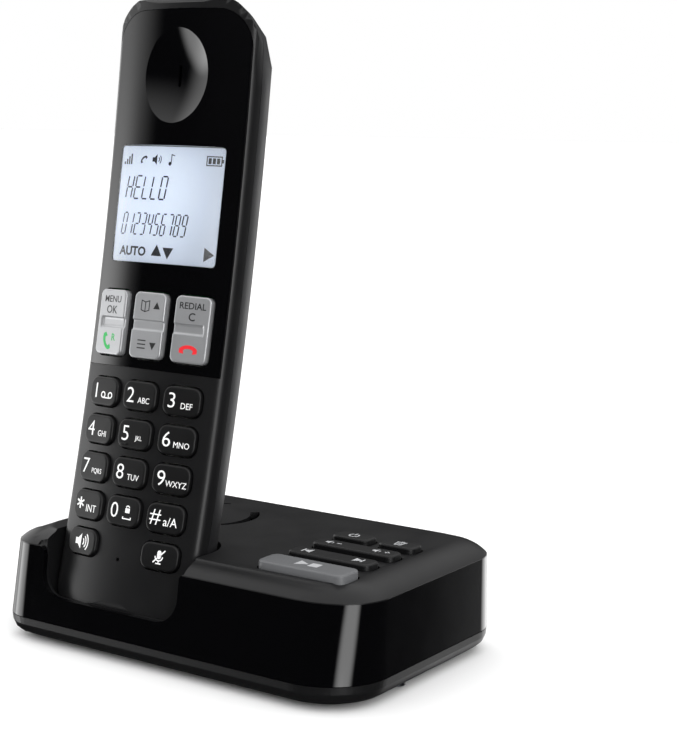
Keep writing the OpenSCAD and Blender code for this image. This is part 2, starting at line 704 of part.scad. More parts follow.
module battery_cells() {
    color("#6f8f4a") in_handset() on_front(0) for (side = [-1, 1])
        translate([side * CELL_U, -side * CELL_L / 2, CELL_W]) rotate([-side * 90, 0, 0]) {
            cylinder(r = CELL_R, h = CELL_L - 0.8, $fn = 48);
            translate([0, 0, CELL_L - 0.8 - EPS]) cylinder(r = 1.9, h = 0.8, $fn = 32);
        }
}

module battery_contacts() {
    color(METAL) in_handset() on_front(0) for (side = [-1, 1])
        for (end = [-1, 1])
            translate([side * CELL_U, end * (BAY_HALF_V - 0.35), CELL_W]) rotate([90, 0, 0]) {
                translate([0, 0, -0.25]) linear_extrude(0.5) polygon(round_rect(8, 8, 1, 3));
                if (side * end > 0) rotate([end > 0 ? 0 : 180, 0, 0]) cylinder(r = 1.6, h = 2.6, $fn = 32);
                else for (ring = [0 : 2]) rotate([end > 0 ? 0 : 180, 0, 0])
                    translate([0, 0, 0.2 + 0.8 * ring]) cylinder(r = 3.4 - 0.7 * ring, h = 0.85, $fn = 32);
            }
}

module handset_back_shell() {
    color("#3a3b3d") in_handset() difference() {
        union() {
            difference() {
                intersection() {
                    handset_body(0);
                    behind(SEAM_DEPTH + 0.15);
                }
                handset_body(shell_wall);
            }
            intersection() {
                handset_body(shell_wall - 0.2);
                on_front(0) translate([0, -2, 0])
                    round_plate(2 * BAY_HALF_U + 2.4, 2 * BAY_HALF_V + 21, 2, -30, -7.8, 3);
            }
            for (s = HANDSET_SCREWS)
                intersection() {
                    on_front(BOARD_V) translate([s[0], s[1] - BOARD_V, -30])
                        cylinder(r = 2.4, h = 30 + BOARD_W - 0.05, $fn = 32);
                    handset_body(shell_wall - 0.2);
                }
        }
        // the bay for the two cells
        on_front(0) round_plate(2 * BAY_HALF_U, 2 * BAY_HALF_V, 1.2, -30, -8.55, 3);
        // the door's seat, longer than the door by its travel
        intersection() {
            on_front(0) translate([0, -DOOR_TRAVEL / 2 - DOOR_GAP / 2, 0])
                round_plate(2 * DOOR_HALF_U + 2 * DOOR_GAP, 2 * DOOR_HALF_V + DOOR_TRAVEL + 3 * DOOR_GAP,
                    3, -40, -8, 5);
            difference() {
                behind(10);
                along_bow(section(shell_wall + DOOR_GAP + 0.1), -60, 60);
            }
        }
        // sound slots over the ringer
        for (i = [-3 : 3]) on_front(RINGER_V) translate([0, 2.6 * i, 0])
            round_plate(11 - abs(i) * 1.3, 1.2, 0.5, -30, -19, 3);
        for (s = HANDSET_SCREWS) on_front(BOARD_V)
            translate([s[0], s[1] - BOARD_V, -15]) cylinder(r = 0.9, h = 12, $fn = 24);
        for (side = [-1, 1]) charge_pad_seat(side, 0.1);
    }
}

module charge_pad_seat(side, g) {
    translate([side * CONTACT_U, -handset_bottom, CONTACT_W]) rotate([-90, 0, 0])
        translate([0, 0, -1]) linear_extrude(1.8 + g) polygon(round_rect(4 + 2 * g, 5 + 2 * g, 0.8, 3));
}

module handset_charge_pads() {
    color(GOLD) in_handset() for (side = [-1, 1])
        intersection() {
            charge_pad_seat(side, 0);
            front_outline(0);
            side_outline(0);
        }
}

module battery_door() {
    color("#3a3b3d") in_handset() difference() {
        intersection() {
            handset_body(0);
            on_front(0) round_plate(2 * DOOR_HALF_U, 2 * DOOR_HALF_V, 2.8, -40, -10, 5);
        }
        along_bow(section(shell_wall), -60, 60);
        // thumb grooves near the upper end
        for (i = [0 : 4]) on_front(0) translate([-6 + 0.35 * i, 18 + 2 * i, -handset_t - 0.9])
            rotate([0, 90, 0]) cylinder(r = 1.2, h = 12 - 0.7 * i, $fn = 24);
    }
}

module handset_screws() {
    color(METAL) in_handset() for (s = HANDSET_SCREWS)
        on_front(BOARD_V) translate([s[0], s[1] - BOARD_V, BOARD_W + BOARD_T + 1.1]) rotate([180, 0, 0])
            screw(7, 0.85, 1.9, 1.1);
}

// everything below the level at which the keys of the handset end
module below_keys() {
    on_front(BOARD_V) translate([-50, -100, KEY_FLOOR_W - 20]) cube([100, 200, 20]);
}

// a key of the handset, drawn where it sits at [u, v], with a flange that
// stops it under the shell
module handset_key(u, v, w, h) {
    color(DARK) in_handset() difference() {
        at_key(u, v) {
            round_plate(w, h, 2.5, -7, key_proud - 0.5);
            round_plate(w - 0.7, h - 0.7, 2.2, 0, key_proud);
            round_plate(w + 1.2, h + 1.2, 3, -7, -shell_wall - 0.35);
        }
        below_keys();
    }
}
module number_key(column, row) {
    handset_key(key_u(column), key_v(row), key_w, key_h);
}
module key_1() number_key(0, 0);
module key_2() number_key(1, 0);
module key_3() number_key(2, 0);
module key_4() number_key(0, 1);
module key_5() number_key(1, 1);
module key_6() number_key(2, 1);
module key_7() number_key(0, 2);
module key_8() number_key(1, 2);
module key_9() number_key(2, 2);
module key_star() number_key(0, 3);
module key_0() number_key(1, 3);
module key_hash() number_key(2, 3);
module key_speaker() handset_key(-key_pitch_u, SIDE_KEY_V, key_w, SIDE_KEY_H);
module key_mute() handset_key(key_pitch_u, SIDE_KEY_V, key_w, SIDE_KEY_H);

// a silver rocker with a cross groove at its pivot
module handset_rocker(side) {
    color(SILVER) in_handset() at_key(side * ROCKER_PITCH, ROCKER_V) difference() {
        union() {
            round_plate(ROCKER_W, ROCKER_H, 1.6, -2.8, ROCKER_PROUD - 0.4);
            round_plate(ROCKER_W - 0.7, ROCKER_H - 0.7, 1.3, 0, ROCKER_PROUD);
            round_plate(ROCKER_W + 1, ROCKER_H - 3, 1, -2.9, -shell_wall - 0.5);
        }
        // the groove runs out at the sides that face another rocker
        translate([side < 0 ? 1.3 : (side > 0 ? -2 : 0), 0, 0])
            round_plate(side == 0 ? ROCKER_W + 2 : ROCKER_W, 2.8, 1.2, ROCKER_PROUD - 0.5, 6, 4);
    }
}
module menu_talk_rocker() handset_rocker(-1);
module scroll_rocker() handset_rocker(0);
module clear_end_rocker() handset_rocker(1);

base_bottom_cover();
base_gloss_band();
base_top_cover();
base_feet();
base_screws();
base_board();
base_board_parts();
base_key_board();
base_key_mat();
base_speaker();
base_speaker_cone();
base_speaker_gasket();
dc_jack();
line_jack();
cradle_contact_left();
cradle_contact_right();
play_key();
skip_rocker();
volume_rocker();
power_key();
delete_key();
handset_front_shell();
handset_fascia();
handset_back_shell();
battery_door();
display_lens();
display_panel();
display_backlight();
handset_board();
handset_board_parts();
keypad_mat();
ear_speaker();
ear_gasket();
ringer_speaker();
microphone();
battery_cells();
battery_contacts();
handset_charge_pads();
handset_screws();
key_1();
key_2();
key_3();
key_4();
key_5();
key_6();
key_7();
key_8();
key_9();
key_star();
key_0();
key_hash();
key_speaker();
key_mute();
menu_talk_rocker();
scroll_rocker();
clear_end_rocker();
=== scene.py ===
"""Looks of the cordless telephone: smooth shells, bevelled keys, printed legends, display and finishes."""

import json
import math

import bmesh
import bpy
import numpy as np
from mathutils import Matrix


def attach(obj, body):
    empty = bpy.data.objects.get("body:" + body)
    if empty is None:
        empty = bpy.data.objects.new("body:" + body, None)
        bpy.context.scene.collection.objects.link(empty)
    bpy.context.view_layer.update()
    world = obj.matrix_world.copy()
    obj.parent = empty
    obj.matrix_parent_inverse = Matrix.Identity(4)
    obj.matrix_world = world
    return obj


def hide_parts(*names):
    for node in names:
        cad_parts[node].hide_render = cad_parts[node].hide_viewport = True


MM = 0.001
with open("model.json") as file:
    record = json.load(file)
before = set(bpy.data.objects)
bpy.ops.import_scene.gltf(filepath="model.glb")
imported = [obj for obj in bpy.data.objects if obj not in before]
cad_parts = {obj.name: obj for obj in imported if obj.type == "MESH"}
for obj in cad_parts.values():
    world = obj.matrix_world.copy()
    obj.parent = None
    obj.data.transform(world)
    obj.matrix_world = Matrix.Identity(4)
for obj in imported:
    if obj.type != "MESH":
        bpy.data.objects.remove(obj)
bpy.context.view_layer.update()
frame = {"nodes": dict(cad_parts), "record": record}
nodes = frame["nodes"]

# ---- sizes of the handset, in millimetres, as the CAD model has them
LEAN = math.radians(12.5)
HANDSET_AT = np.array([-18.7, -22.8, 67.6])
AXIS_V = np.array([0.0, math.sin(LEAN), math.cos(LEAN)])
AXIS_W = np.array([0.0, -math.cos(LEAN), math.sin(LEAN)])
BOW_R, BOW_V, CROWN_R = 972.0, -9.36, 76.5
HALF_W, TOP_V, BOTTOM_V = 23.0, 104.1, -59.5
OUTLINE_HALF_W, CORNER_R = HALF_W + 0.05, 12
THICK, BACK_R, BACK_EDGE_R, EDGE_R = 22.0, 34.0, 12.0, 3.0
TOP_FRONT_R, TOP_BACK_R, FOOT_FRONT_R, FOOT_BACK_R = 3, 9, 6, 7
EAR_V, EAR_DEPTH, EAR_SPHERE = 83.6, 2.4, 32.208
KEY_W, KEY_H, SIDE_KEY_H = 11.0, 7.65, 7.0
PITCH_U, PITCH_V, SIDE_KEY_V = 13.0, 10.05, -39.9
ROCKER_W, ROCKER_H, ROCKER_V, ROCKER_PITCH = 10.4, 17.3, 18.45, 13.2
KEY_TOP, KEY_FOOT, KEY_CORNER_R, KEY_EDGE_R = 1.0, -3.0, 2.5, 0.55
ROCKER_TOP, ROCKER_CORNER_R, ROCKER_EDGE_R, GROOVE_DEPTH = 1.3, 1.6, 0.45, 0.5
WINDOW_V, DISPLAY_FACE, DISPLAY_INK = 50.1, -2.25, -2.24
# ---- the rounder top of its copied shells
ROUND_V, ROUND_DEPTH = 20.0, 18.0       # half axes of the ellipse behind the top
CORNER_GROWTH, GROWTH_FROM, GROWTH_SPAN = 0.9, 4, 12
# ---- sizes of the base
BASE_W, BASE_D, BASE_R = 113.0, 76.2, 17.0
SEAM_Z, RIM_Z, TOP_Z = 6.7, 26.2, 29.9
SHOULDER_W, SHOULDER_R = 8.2, 11.588
BASE_KEY_TOP, PLAY_KEY_TOP, BASE_KEY_FOOT = 31.5, 32.0, -4.5
LEAN_LEFT, LEAN_FRONT, LEAN_BEHIND = 2.0, 2.8, 1.6
LEAN_WHOLE, LEAN_GONE = 4, 9            # distances in from the outline
TIGHT_CORNERS = ((-1, -1, 9), (1, 1, 13))    # side in x, side in y, radius
# ---- prints and meshes
INK, INK_SUNK = 0.03, 0.01              # a printed legend's thickness, and how far it sits in its key
WELD = 0.002                            # corners of a copied shell closer than this are one
FACET_ANGLE, SAME_WAY = 14, 0.93        # degrees, and the cosine between a face and its surface


# ======================= camera, light, floor =======================
def make_camera():
    """Camera at the height of the handset's middle, right of its front, looking slightly down."""
    azimuth, elevation, roll = (math.radians(a) for a in (36.2, 8.6, 0.4))
    back = np.array([math.sin(azimuth) * math.cos(elevation),
                     -math.cos(azimuth) * math.cos(elevation), math.sin(elevation)])
    right = np.array([math.cos(azimuth), math.sin(azimuth), 0])
    up = np.cross(back, right)
    right_rolled = math.cos(roll) * right + math.sin(roll) * up
    up_rolled = -math.sin(roll) * right + math.cos(roll) * up
    place = (0.2649, -0.3595, 0.1428)
    data = bpy.data.cameras.new("camera")
    data.sensor_width, data.lens = 36, 84.43
    data.shift_x, data.shift_y = 0.1127, -0.0025
    data.clip_start, data.clip_end = 0.01, 10
    camera = bpy.data.objects.new("camera", data)
    turn = np.column_stack((right_rolled, up_rolled, back))
    camera.matrix_world = Matrix.Translation(place) @ Matrix(turn.tolist()).to_4x4()
    bpy.context.scene.collection.objects.link(camera)
    bpy.context.scene.camera = camera


def linear(colour):
    """An sRGB hex colour as linear red, green, blue and alpha."""
    parts = [int(colour[i:i + 2], 16) / 255 for i in (1, 3, 5)]
    return tuple(c / 12.92 if c <= 0.04045 else ((c + 0.055) / 1.055) ** 2.4 for c in parts) + (1.0,)


def add(tree, kind, settings=None, **inputs):
    """A node of this kind with its settings. An input is a value, or another node's socket to link."""
    node = tree.nodes.new(kind)
    for name, value in (settings or {}).items():
        setattr(node, name, value)
    for name, value in inputs.items():
        socket = node.inputs[int(name[1:])] if name[0] == "i" and name[1:].isdigit() else node.inputs[name]
        if isinstance(value, bpy.types.NodeSocket):
            tree.links.new(value, socket)
        else:
            socket.default_value = value
    return node


def direction(azimuth, elevation):
    """Unit vector away from the object: azimuth 0 is its front, 90 its right."""
    a, e = math.radians(azimuth), math.radians(elevation)
    return (math.sin(a) * math.cos(e), -math.cos(a) * math.cos(e), math.sin(e))


# each soft box: azimuth, elevation, half-angles of its full and its fading part, brightness
SOFT_BOXES = [
    (0, 85, 30, 75, 1.5),
    (-92, 12, 20, 44, 1.7),
    (160, 35, 10, 50, 0.5),
    (75, 35, 10, 45, 0.5),
    (-66, -14, 12, 25, 4.0),
    (57, -14, 5, 17, 5.5),
    (57, 4, 5, 17, 5.5),
    (57, 22, 5, 17, 5.5),
    (176, -15, 6, 26, 2.6),
]
STUDIO_GREY = 0.035


def make_world():
    """A white backdrop for the camera, and a dim room with large soft boxes for the light."""
    world = bpy.data.worlds.new("studio")
    world.use_nodes = True
    bpy.context.scene.world = world
    tree = world.node_tree
    tree.nodes.clear()
    where = add(tree, "ShaderNodeTexCoord").outputs["Generated"]
    total = add(tree, "ShaderNodeValue").outputs[0]
    total.default_value = STUDIO_GREY
    for azimuth, elevation, full, faded, strength in SOFT_BOXES:
        facing = add(tree, "ShaderNodeVectorMath", {"operation": "DOT_PRODUCT"}, i0=where,
                     i1=direction(azimuth, elevation)).outputs["Value"]
        glow = add(tree, "ShaderNodeMapRange", {"interpolation_type": "SMOOTHSTEP"}, i0=facing,
                   i1=math.cos(math.radians(faded)), i2=math.cos(math.radians(full)), i3=0.0,
                   i4=strength).outputs[0]
        total = add(tree, "ShaderNodeMath", {"operation": "ADD"}, i0=total, i1=glow).outputs[0]
    room = add(tree, "ShaderNodeBackground", Color=total)
    white = add(tree, "ShaderNodeBackground", Color=(1, 1, 1, 1), Strength=1.0)
    seen = add(tree, "ShaderNodeLightPath").outputs["Is Camera Ray"]
    mixed = add(tree, "ShaderNodeMixShader", i0=seen, i1=room.outputs[0], i2=white.outputs[0])
    add(tree, "ShaderNodeOutputWorld", Surface=mixed.outputs[0])


def make_floor():
    """A pale table top that carries the object's shadow and stays out of its reflections."""
    mesh = bpy.data.meshes.new("floor")
    half = 6.0
    corners = [(-half, -half, 0), (half, -half, 0), (half, half, 0), (-half, half, 0)]
    mesh.from_pydata(corners, [], [(0, 1, 2, 3)])
    floor = bpy.data.objects.new("floor", mesh)
    bpy.context.scene.collection.objects.link(floor)
    material = bpy.data.materials.new("matt_white_laminate")
    material.use_nodes = True
    tree = material.node_tree
    tree.nodes.clear()
    matt = add(tree, "ShaderNodeBsdfDiffuse", Color=(0.93, 0.93, 0.93, 1))
    add(tree, "ShaderNodeOutputMaterial", Surface=matt.outputs[0])
    mesh.materials.append(material)
    floor.visible_glossy = False


# ======================= materials =======================
def finish(name, colour, rough, grain=0.3, relief=0.01, mottle=0.05, metallic=0.0, cloudy=0.03, **sockets):
    """A surface of one colour with a fine grain of that size and relief in mm.

    Soft clouds, 9 mm across, change its colour by mottle and its roughness by cloudy.
    """
    material = bpy.data.materials.new(name)
    material.use_nodes = True
    tree = material.node_tree
    shader = tree.nodes["Principled BSDF"]
    where = add(tree, "ShaderNodeTexCoord").outputs["Object"]
    clouds = add(tree, "ShaderNodeTexNoise", Vector=where, Scale=1 / (9 * MM), Detail=3.0).outputs["Fac"]
    fine = add(tree, "ShaderNodeTexNoise", Vector=where, Scale=1 / (grain * MM), Detail=2.0).outputs["Fac"]
    base = np.array(linear(colour)[:3])
    shades = [tuple(base * (1 + side * mottle)) + (1.0,) for side in (-1, 1)]
    tint = add(tree, "ShaderNodeMix", {"data_type": "RGBA"}, i0=clouds, i6=shades[0], i7=shades[1])
    tree.links.new(tint.outputs[2], shader.inputs["Base Color"])
    even = add(tree, "ShaderNodeMapRange", i0=clouds, i1=0.3, i2=0.7, i3=max(rough - cloudy, 0.0),
               i4=min(rough + cloudy, 1.0)).outputs[0]
    tree.links.new(even, shader.inputs["Roughness"])
    bump = add(tree, "ShaderNodeBump", Strength=1.0, Distance=relief * MM, Height=fine)
    tree.links.new(bump.outputs[0], shader.inputs["Normal"])
    shader.inputs["Metallic"].default_value = metallic
    for socket, value in sockets.items():
        shader.inputs[socket.replace("_", " ")].default_value = value
    return material


def piano_black():
    """High-gloss ABS from a polished mould: deep black, sharp reflections, hardly any grain."""
    return finish("gloss_abs_piano_black", "#020203", 0.07, grain=2.5, relief=0.002, mottle=0.1, cloudy=0.015,
                  Specular_IOR_Level=0.38)


def satin_black():
    """ABS from a lightly spark-eroded mould: soft wide highlights on near black."""
    return finish("satin_abs_black", "#121213", 0.36, grain=0.35, relief=0.012, mottle=0.06,
                  Specular_IOR_Level=0.25)


def charcoal():
    """ABS with a coarser spark-eroded grain: the grey back of the handset, quite dull."""
    return finish("textured_abs_charcoal", "#151517", 0.5, grain=0.4, relief=0.03, mottle=0.06,
                  Specular_IOR_Level=0.28)


def soft_touch_black():
    """Keypad keys of moulded polycarbonate with a soft-touch coat: dull black."""
    return finish("soft_touch_key_black", "#0b0b0c", 0.45, grain=0.25, relief=0.008, mottle=0.05,
                  Specular_IOR_Level=0.25)


def play_grey():
    """The play key, moulded in grey ABS: matt and light."""
    return finish("matt_abs_grey", "#5a5b5d", 0.5, grain=0.3, relief=0.02, mottle=0.04)


def silver_paint():
    """Sprayed metallic silver on plastic: fine flakes that glitter softly, satin clear coat."""
    return finish("metallic_silver_paint", "#a2a3a5", 0.42, grain=0.12, relief=0.006, mottle=0.05,
                  metallic=0.6, Coat_Weight=0.25, Coat_Roughness=0.25)


def rubber():
    """Moulded nitrile rubber: dull black with a faint dusty bloom."""
    return finish("nitrile_rubber", "#1c1c1c", 0.8, grain=0.5, relief=0.03, mottle=0.15)


def steel():
    """Black-passivated steel of the screws and springs: dark, with a soft sheen."""
    return finish("black_passivated_steel", "#3c3d40", 0.4, grain=0.2, relief=0.008, mottle=0.12,
                  metallic=1.0)


def circuit_board():
    """Glass-epoxy board under green solder mask: semi-gloss with the weave just showing."""
    return finish("green_solder_mask", "#1d5a33", 0.35, grain=0.6, relief=0.02, mottle=0.25)


def dark_parts():
    """Epoxy-moulded components and nylon sockets: dark grey, fine matt."""
    return finish("moulded_nylon_dark", "#222325", 0.55, grain=0.3, relief=0.02, mottle=0.12)


def silicone():
    """Compression-moulded silicone rubber mat: milky grey, soft."""
    return finish("silicone_mat", "#b4b4ae", 0.6, grain=0.5, relief=0.01, mottle=0.06)


def speaker_frame():
    """Stamped, black-passivated steel frame: dark, half dull."""
    return finish("passivated_steel", "#47484b", 0.45, grain=0.4, relief=0.01, mottle=0.12, metallic=0.8)


def paper_cone():
    """Pressed paper pulp, dyed black: fibrous and matt."""
    return finish("pressed_paper", "#202022", 0.9, grain=0.5, relief=0.05, mottle=0.3)


def foam():
    """Open-cell polyurethane foam ring: black and porous."""
    return finish("open_cell_foam", "#2b2b2b", 0.95, grain=0.5, relief=0.12, mottle=0.3)


def gold():
    """Gold plating over nickel on the charge contacts: warm and bright, slightly scuffed."""
    return finish("gold_plating", "#d2a949", 0.25, grain=0.3, relief=0.006, mottle=0.1, metallic=1.0)


def clear_acrylic():
    """Injection-moulded acrylic window: clear, with a hard polished face."""
    return finish("clear_acrylic", "#ffffff", 0.02, grain=2.0, relief=0.0005, mottle=0.0, cloudy=0.0,
                  Transmission_Weight=1.0, IOR=1.49)


def display_film():
    """Backlit liquid-crystal film: bluish white, with a painted pool of light: duller the further it is from
    one bright spot.
    """
    film = finish("lcd_film_glow_with_painted_light_pool", "#b9c4d4", 0.5, grain=0.4, relief=0.001, mottle=0.03,
                  Emission_Color=linear("#dbe6f6"))
    tree = film.node_tree
    # the bright spot of the painted pool of light, left of and above the window's middle
    middle = tuple(on_key(0, WINDOW_V)(-4.0, 2.0, DISPLAY_FACE).reshape(3))
    where = add(tree, "ShaderNodeTexCoord").outputs["Object"]
    away = add(tree, "ShaderNodeVectorMath", {"operation": "DISTANCE"}, i0=where, i1=middle).outputs["Value"]
    # painted light: the glow falls from 0.66 within 4 mm of that spot to 0.2 at 28 mm
    glow = add(tree, "ShaderNodeMapRange", {"interpolation_type": "SMOOTHSTEP"}, i0=away, i1=4 * MM,
               i2=28 * MM, i3=0.66, i4=0.2).outputs[0]
    tree.links.new(glow, tree.nodes["Principled BSDF"].inputs["Emission Strength"])
    return film


def display_ink():
    """Driven liquid-crystal segments: dark blue-grey, not quite opaque."""
    return finish("lcd_segment_grey", "#2b3036", 0.5, grain=0.3, relief=0.001, mottle=0.08)


def light_guide():
    """Frosted acrylic light guide under the display: white."""
    return finish("frosted_acrylic", "#eef1f3", 0.4, grain=0.8, relief=0.01, mottle=0.03)


def cell_jacket():
    """Shrunk PVC sleeve round the cells: glossy green."""
    return finish("shrunk_pvc_sleeve", "#5f8f4a", 0.25, grain=2.0, relief=0.01, mottle=0.1)


def white_ink():
    """Pad-printed white lacquer: opaque, half matt."""
    return finish("white_pad_print", "#f2f2f2", 0.45, grain=0.2, relief=0.003, mottle=0.03)


def grey_ink():
    """Pad-printed grey lacquer on the keys of the base."""
    return finish("grey_pad_print", "#b3b4b6", 0.45, grain=0.2, relief=0.003, mottle=0.03)


def black_ink():
    """Pad-printed black lacquer on the silver rockers."""
    return finish("black_pad_print", "#161617", 0.4, grain=0.2, relief=0.003, mottle=0.05)


def green_ink():
    """Pad-printed green lacquer for the talk mark."""
    return finish("green_pad_print", "#12a54a", 0.4, grain=0.2, relief=0.003, mottle=0.04)


def red_ink():
    """Pad-printed red lacquer for the hang-up mark."""
    return finish("red_pad_print", "#d8222a", 0.4, grain=0.2, relief=0.003, mottle=0.04)


# ======================= shared surfaces =======================
def from_handset(u, v, w):
    """Row-frame points in metres of handset places in mm: u right, v up along it, w out of its face."""
    u, v, w = (np.asarray(a, float)[..., None] for a in np.broadcast_arrays(u, v, w))
    return (HANDSET_AT + u * np.array([1.0, 0, 0]) + v * AXIS_V + w * AXIS_W) * MM


def bow(v):
    """Height of the lengthwise bow of the face: a circle of radius BOW_R about BOW_V."""
    return BOW_R - np.sqrt(BOW_R ** 2 - (v - BOW_V) ** 2)


def crown(u):
    """How far the crowned face falls away at u: a circle of radius CROWN_R."""
    return CROWN_R - np.sqrt(CROWN_R ** 2 - np.asarray(u, float) ** 2)


def on_key(u0, v0):
    """The place of a key on the face: local x right, y up and z out, turned to the face's normal."""
    across, along = math.asin(u0 / CROWN_R), math.asin((v0 - BOW_V) / BOW_R)

    def place(x, y, z):
        x1 = x * math.cos(across) + z * math.sin(across) + u0
        z1 = -x * math.sin(across) + z * math.cos(across) - crown(u0) - BOW_R
        return from_handset(x1, BOW_V + y * math.cos(along) - z1 * math.sin(along),
                            BOW_R + y * math.sin(along) + z1 * math.cos(along))
    return place


def on_base(x0, y0, z0):
    """Level frame of the base at that point, in mm."""
    def place(x, y, z):
        x, y, z = np.broadcast_arrays(x, y, z)
        return np.stack((x0 + x, y0 + y, z0 + z), -1).astype(float) * MM
    return place


def new_piece(name, points, faces, material, body, slot=None, replaces=(), smooth=40):
    """An object from points in metres and faces, with its material, riding on its body."""
    mesh = bpy.data.meshes.new(name)
    mesh.from_pydata(np.asarray(points, float).reshape(-1, 3).tolist(), [], faces)
    mesh.materials.append(material)
    piece = bpy.data.objects.new(name, mesh)
    bpy.context.scene.collection.objects.link(piece)
    mesh.validate()
    if smooth:
        mesh.polygons.foreach_set("use_smooth", [True] * len(mesh.polygons))
        mesh.set_sharp_from_angle(angle=math.radians(smooth))
    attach(piece, body)
    if replaces:
        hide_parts(*replaces)
    return piece


def grid_faces(rows, columns):
    """Quads of a grid of that many points, and one polygon that closes it along its border."""
    i = np.arange(rows * columns).reshape(rows, columns)
    quads = np.stack((i[:-1, :-1], i[:-1, 1:], i[1:, 1:], i[1:, :-1]), -1).reshape(-1, 4).tolist()
    border = np.concatenate((i[0, :-1], i[:-1, -1], i[-1, :0:-1], i[:0:-1, 0]))
    return quads + [border[::-1].tolist()]


def spread(n):
    """n + 1 values from -1 to 1, close together towards both ends: sines of equal steps."""
    return np.sin(np.linspace(-0.5, 0.5, n + 1) * math.pi)


def edge_distance(x, y, w, h, r):
    """Distance in from the edge of a rounded rectangle w by h with corner radius r."""
    qx, qy = np.abs(x) - (w / 2 - r), np.abs(y) - (h / 2 - r)
    outside = np.hypot(np.maximum(qx, 0), np.maximum(qy, 0))
    return r - outside - np.minimum(np.maximum(qx, qy), 0)


def roll(e, r):
    """Drop of a quarter-round edge of radius r at distance e in from the edge."""
    inside = np.clip(r - e, 0, r)
    return r - np.sqrt(np.maximum(r ** 2 - inside ** 2, 0))


def pad_points(w, h, r, height, foot, place, columns=28, rows=28):
    """A raised pad over a rounded rectangle: a height field z = height(x, y, e) with walls down to foot.

    Rows run along y. In each, x goes from wall to wall of the rounded rectangle, and the first and
    last points and rows stand at the foot of the walls.
    """
    y = spread(rows)[:, None] * h / 2
    bend = np.maximum(np.abs(y) - (h / 2 - r), 0)
    half = w / 2 - r + np.sqrt(np.maximum(r ** 2 - bend ** 2, 0))
    x = spread(columns)[None, :] * half
    y = np.broadcast_to(y, x.shape)
    z = height(x, y, edge_distance(x, y, w, h, r))
    x, y, z = (np.pad(a, 1, mode="edge") for a in (x, y, z))
    z[0, :], z[-1, :], z[:, 0], z[:, -1] = foot, foot, foot, foot
    return place(x, y, z), grid_faces(*x.shape)


def pad(name, w, h, r, height, foot, place, material, body, columns=28, rows=28, **more):
    """A raised pad as an object, as pad_points describes it."""
    points, faces = pad_points(w, h, r, height, foot, place, columns, rows)
    return new_piece(name, points, faces, material, body, **more)


def step(a, low, high):
    """Smoothstep: 0 below low, 1 above high, 3t^2 - 2t^3 between."""
    t = np.clip((a - low) / (high - low), 0, 1)
    return t * t * (3 - 2 * t)


def base_surfaces(points):
    """The base's curved sides at these points: how far off each surface is, and its outward normal.

    The wall stands upright on the outline. The shoulder is a circle of radius SHOULDER_R in the
    plane of inset and height, with its centre SHOULDER_W in from the outline.
    """
    x, y, z = points.T
    nx = np.sign(x) * np.maximum(np.abs(x) - (BASE_W / 2 - BASE_R), 0)
    ny = np.sign(y) * np.maximum(np.abs(y) - (BASE_D / 2 - BASE_R), 0)
    length = np.maximum(np.hypot(nx, ny), 1e-9)
    nx, ny = nx / length, ny / length
    inset = edge_distance(x, y, BASE_W, BASE_D, BASE_R)
    across, up = SHOULDER_W - inset, z - (TOP_Z - SHOULDER_R)
    wall = np.stack((nx, ny, 0 * z), 1)
    shoulder = np.stack((nx * across, ny * across, up), 1) / SHOULDER_R
    return [(inset, wall), (np.hypot(across, up) - SHOULDER_R, shoulder)]


def handset_surfaces(points):
    """The handset's curved sides, as in base_surfaces.

    Its section is made of four circles in the plane of u and depth, its outline has one in each
    corner in the plane of u and v, its two ends have four in the plane of v and depth, and the ear
    dish is a sphere.
    """
    offset = points - HANDSET_AT
    u, v = offset[:, 0], offset @ AXIS_V
    depth = bow(v) - offset @ AXIS_W
    lean = (v - BOW_V) / BOW_R
    out_w = AXIS_W * np.sqrt(1 - lean ** 2)[:, None] - AXIS_V * lean[:, None]
    edge_turn = math.asin((HALF_W - EDGE_R) / (CROWN_R - EDGE_R))
    edge_depth = CROWN_R - (CROWN_R - EDGE_R) * math.cos(edge_turn)
    back_depth = THICK - BACK_R + math.sqrt((BACK_R - BACK_EDGE_R) ** 2 - (HALF_W - BACK_EDGE_R) ** 2)
    found = []

    def circle(du, dv, dd, r):
        length = np.sqrt(du ** 2 + dv ** 2 + dd ** 2)
        normal = (du[:, None] * np.array([1.0, 0, 0]) + dv[:, None] * AXIS_V - dd[:, None] * out_w)
        found.append((length - r, normal / np.maximum(length, 1e-9)[:, None]))

    none = 0 * u
    side = np.where(u < 0, -1, 1)
    circle(u, none, depth - CROWN_R, CROWN_R)
    circle(u - side * (HALF_W - EDGE_R), none, depth - edge_depth, EDGE_R)
    circle(u - side * (HALF_W - BACK_EDGE_R), none, depth - back_depth, BACK_EDGE_R)
    circle(u, none, depth - (THICK - BACK_R), BACK_R)
    for v_centre in (TOP_V - CORNER_R, BOTTOM_V + CORNER_R):
        circle(u - side * (OUTLINE_HALF_W - CORNER_R), v - v_centre, none, CORNER_R)
    for v_centre, d_centre, r in (
            (TOP_V - TOP_FRONT_R, TOP_FRONT_R, TOP_FRONT_R),
            (TOP_V - TOP_BACK_R, THICK - TOP_BACK_R, TOP_BACK_R),
            (BOTTOM_V + FOOT_FRONT_R, FOOT_FRONT_R, FOOT_FRONT_R),
            (BOTTOM_V + FOOT_BACK_R, THICK - FOOT_BACK_R, FOOT_BACK_R)):
        circle(none, v - v_centre, depth - d_centre, r)
    dish = on_key(0, EAR_V)(0.0, 0.0, EAR_SPHERE - EAR_DEPTH).reshape(3) / MM
    away = points - dish
    length = np.linalg.norm(away, axis=1)
    found.append((length - EAR_SPHERE, -away / length[:, None]))
    return found


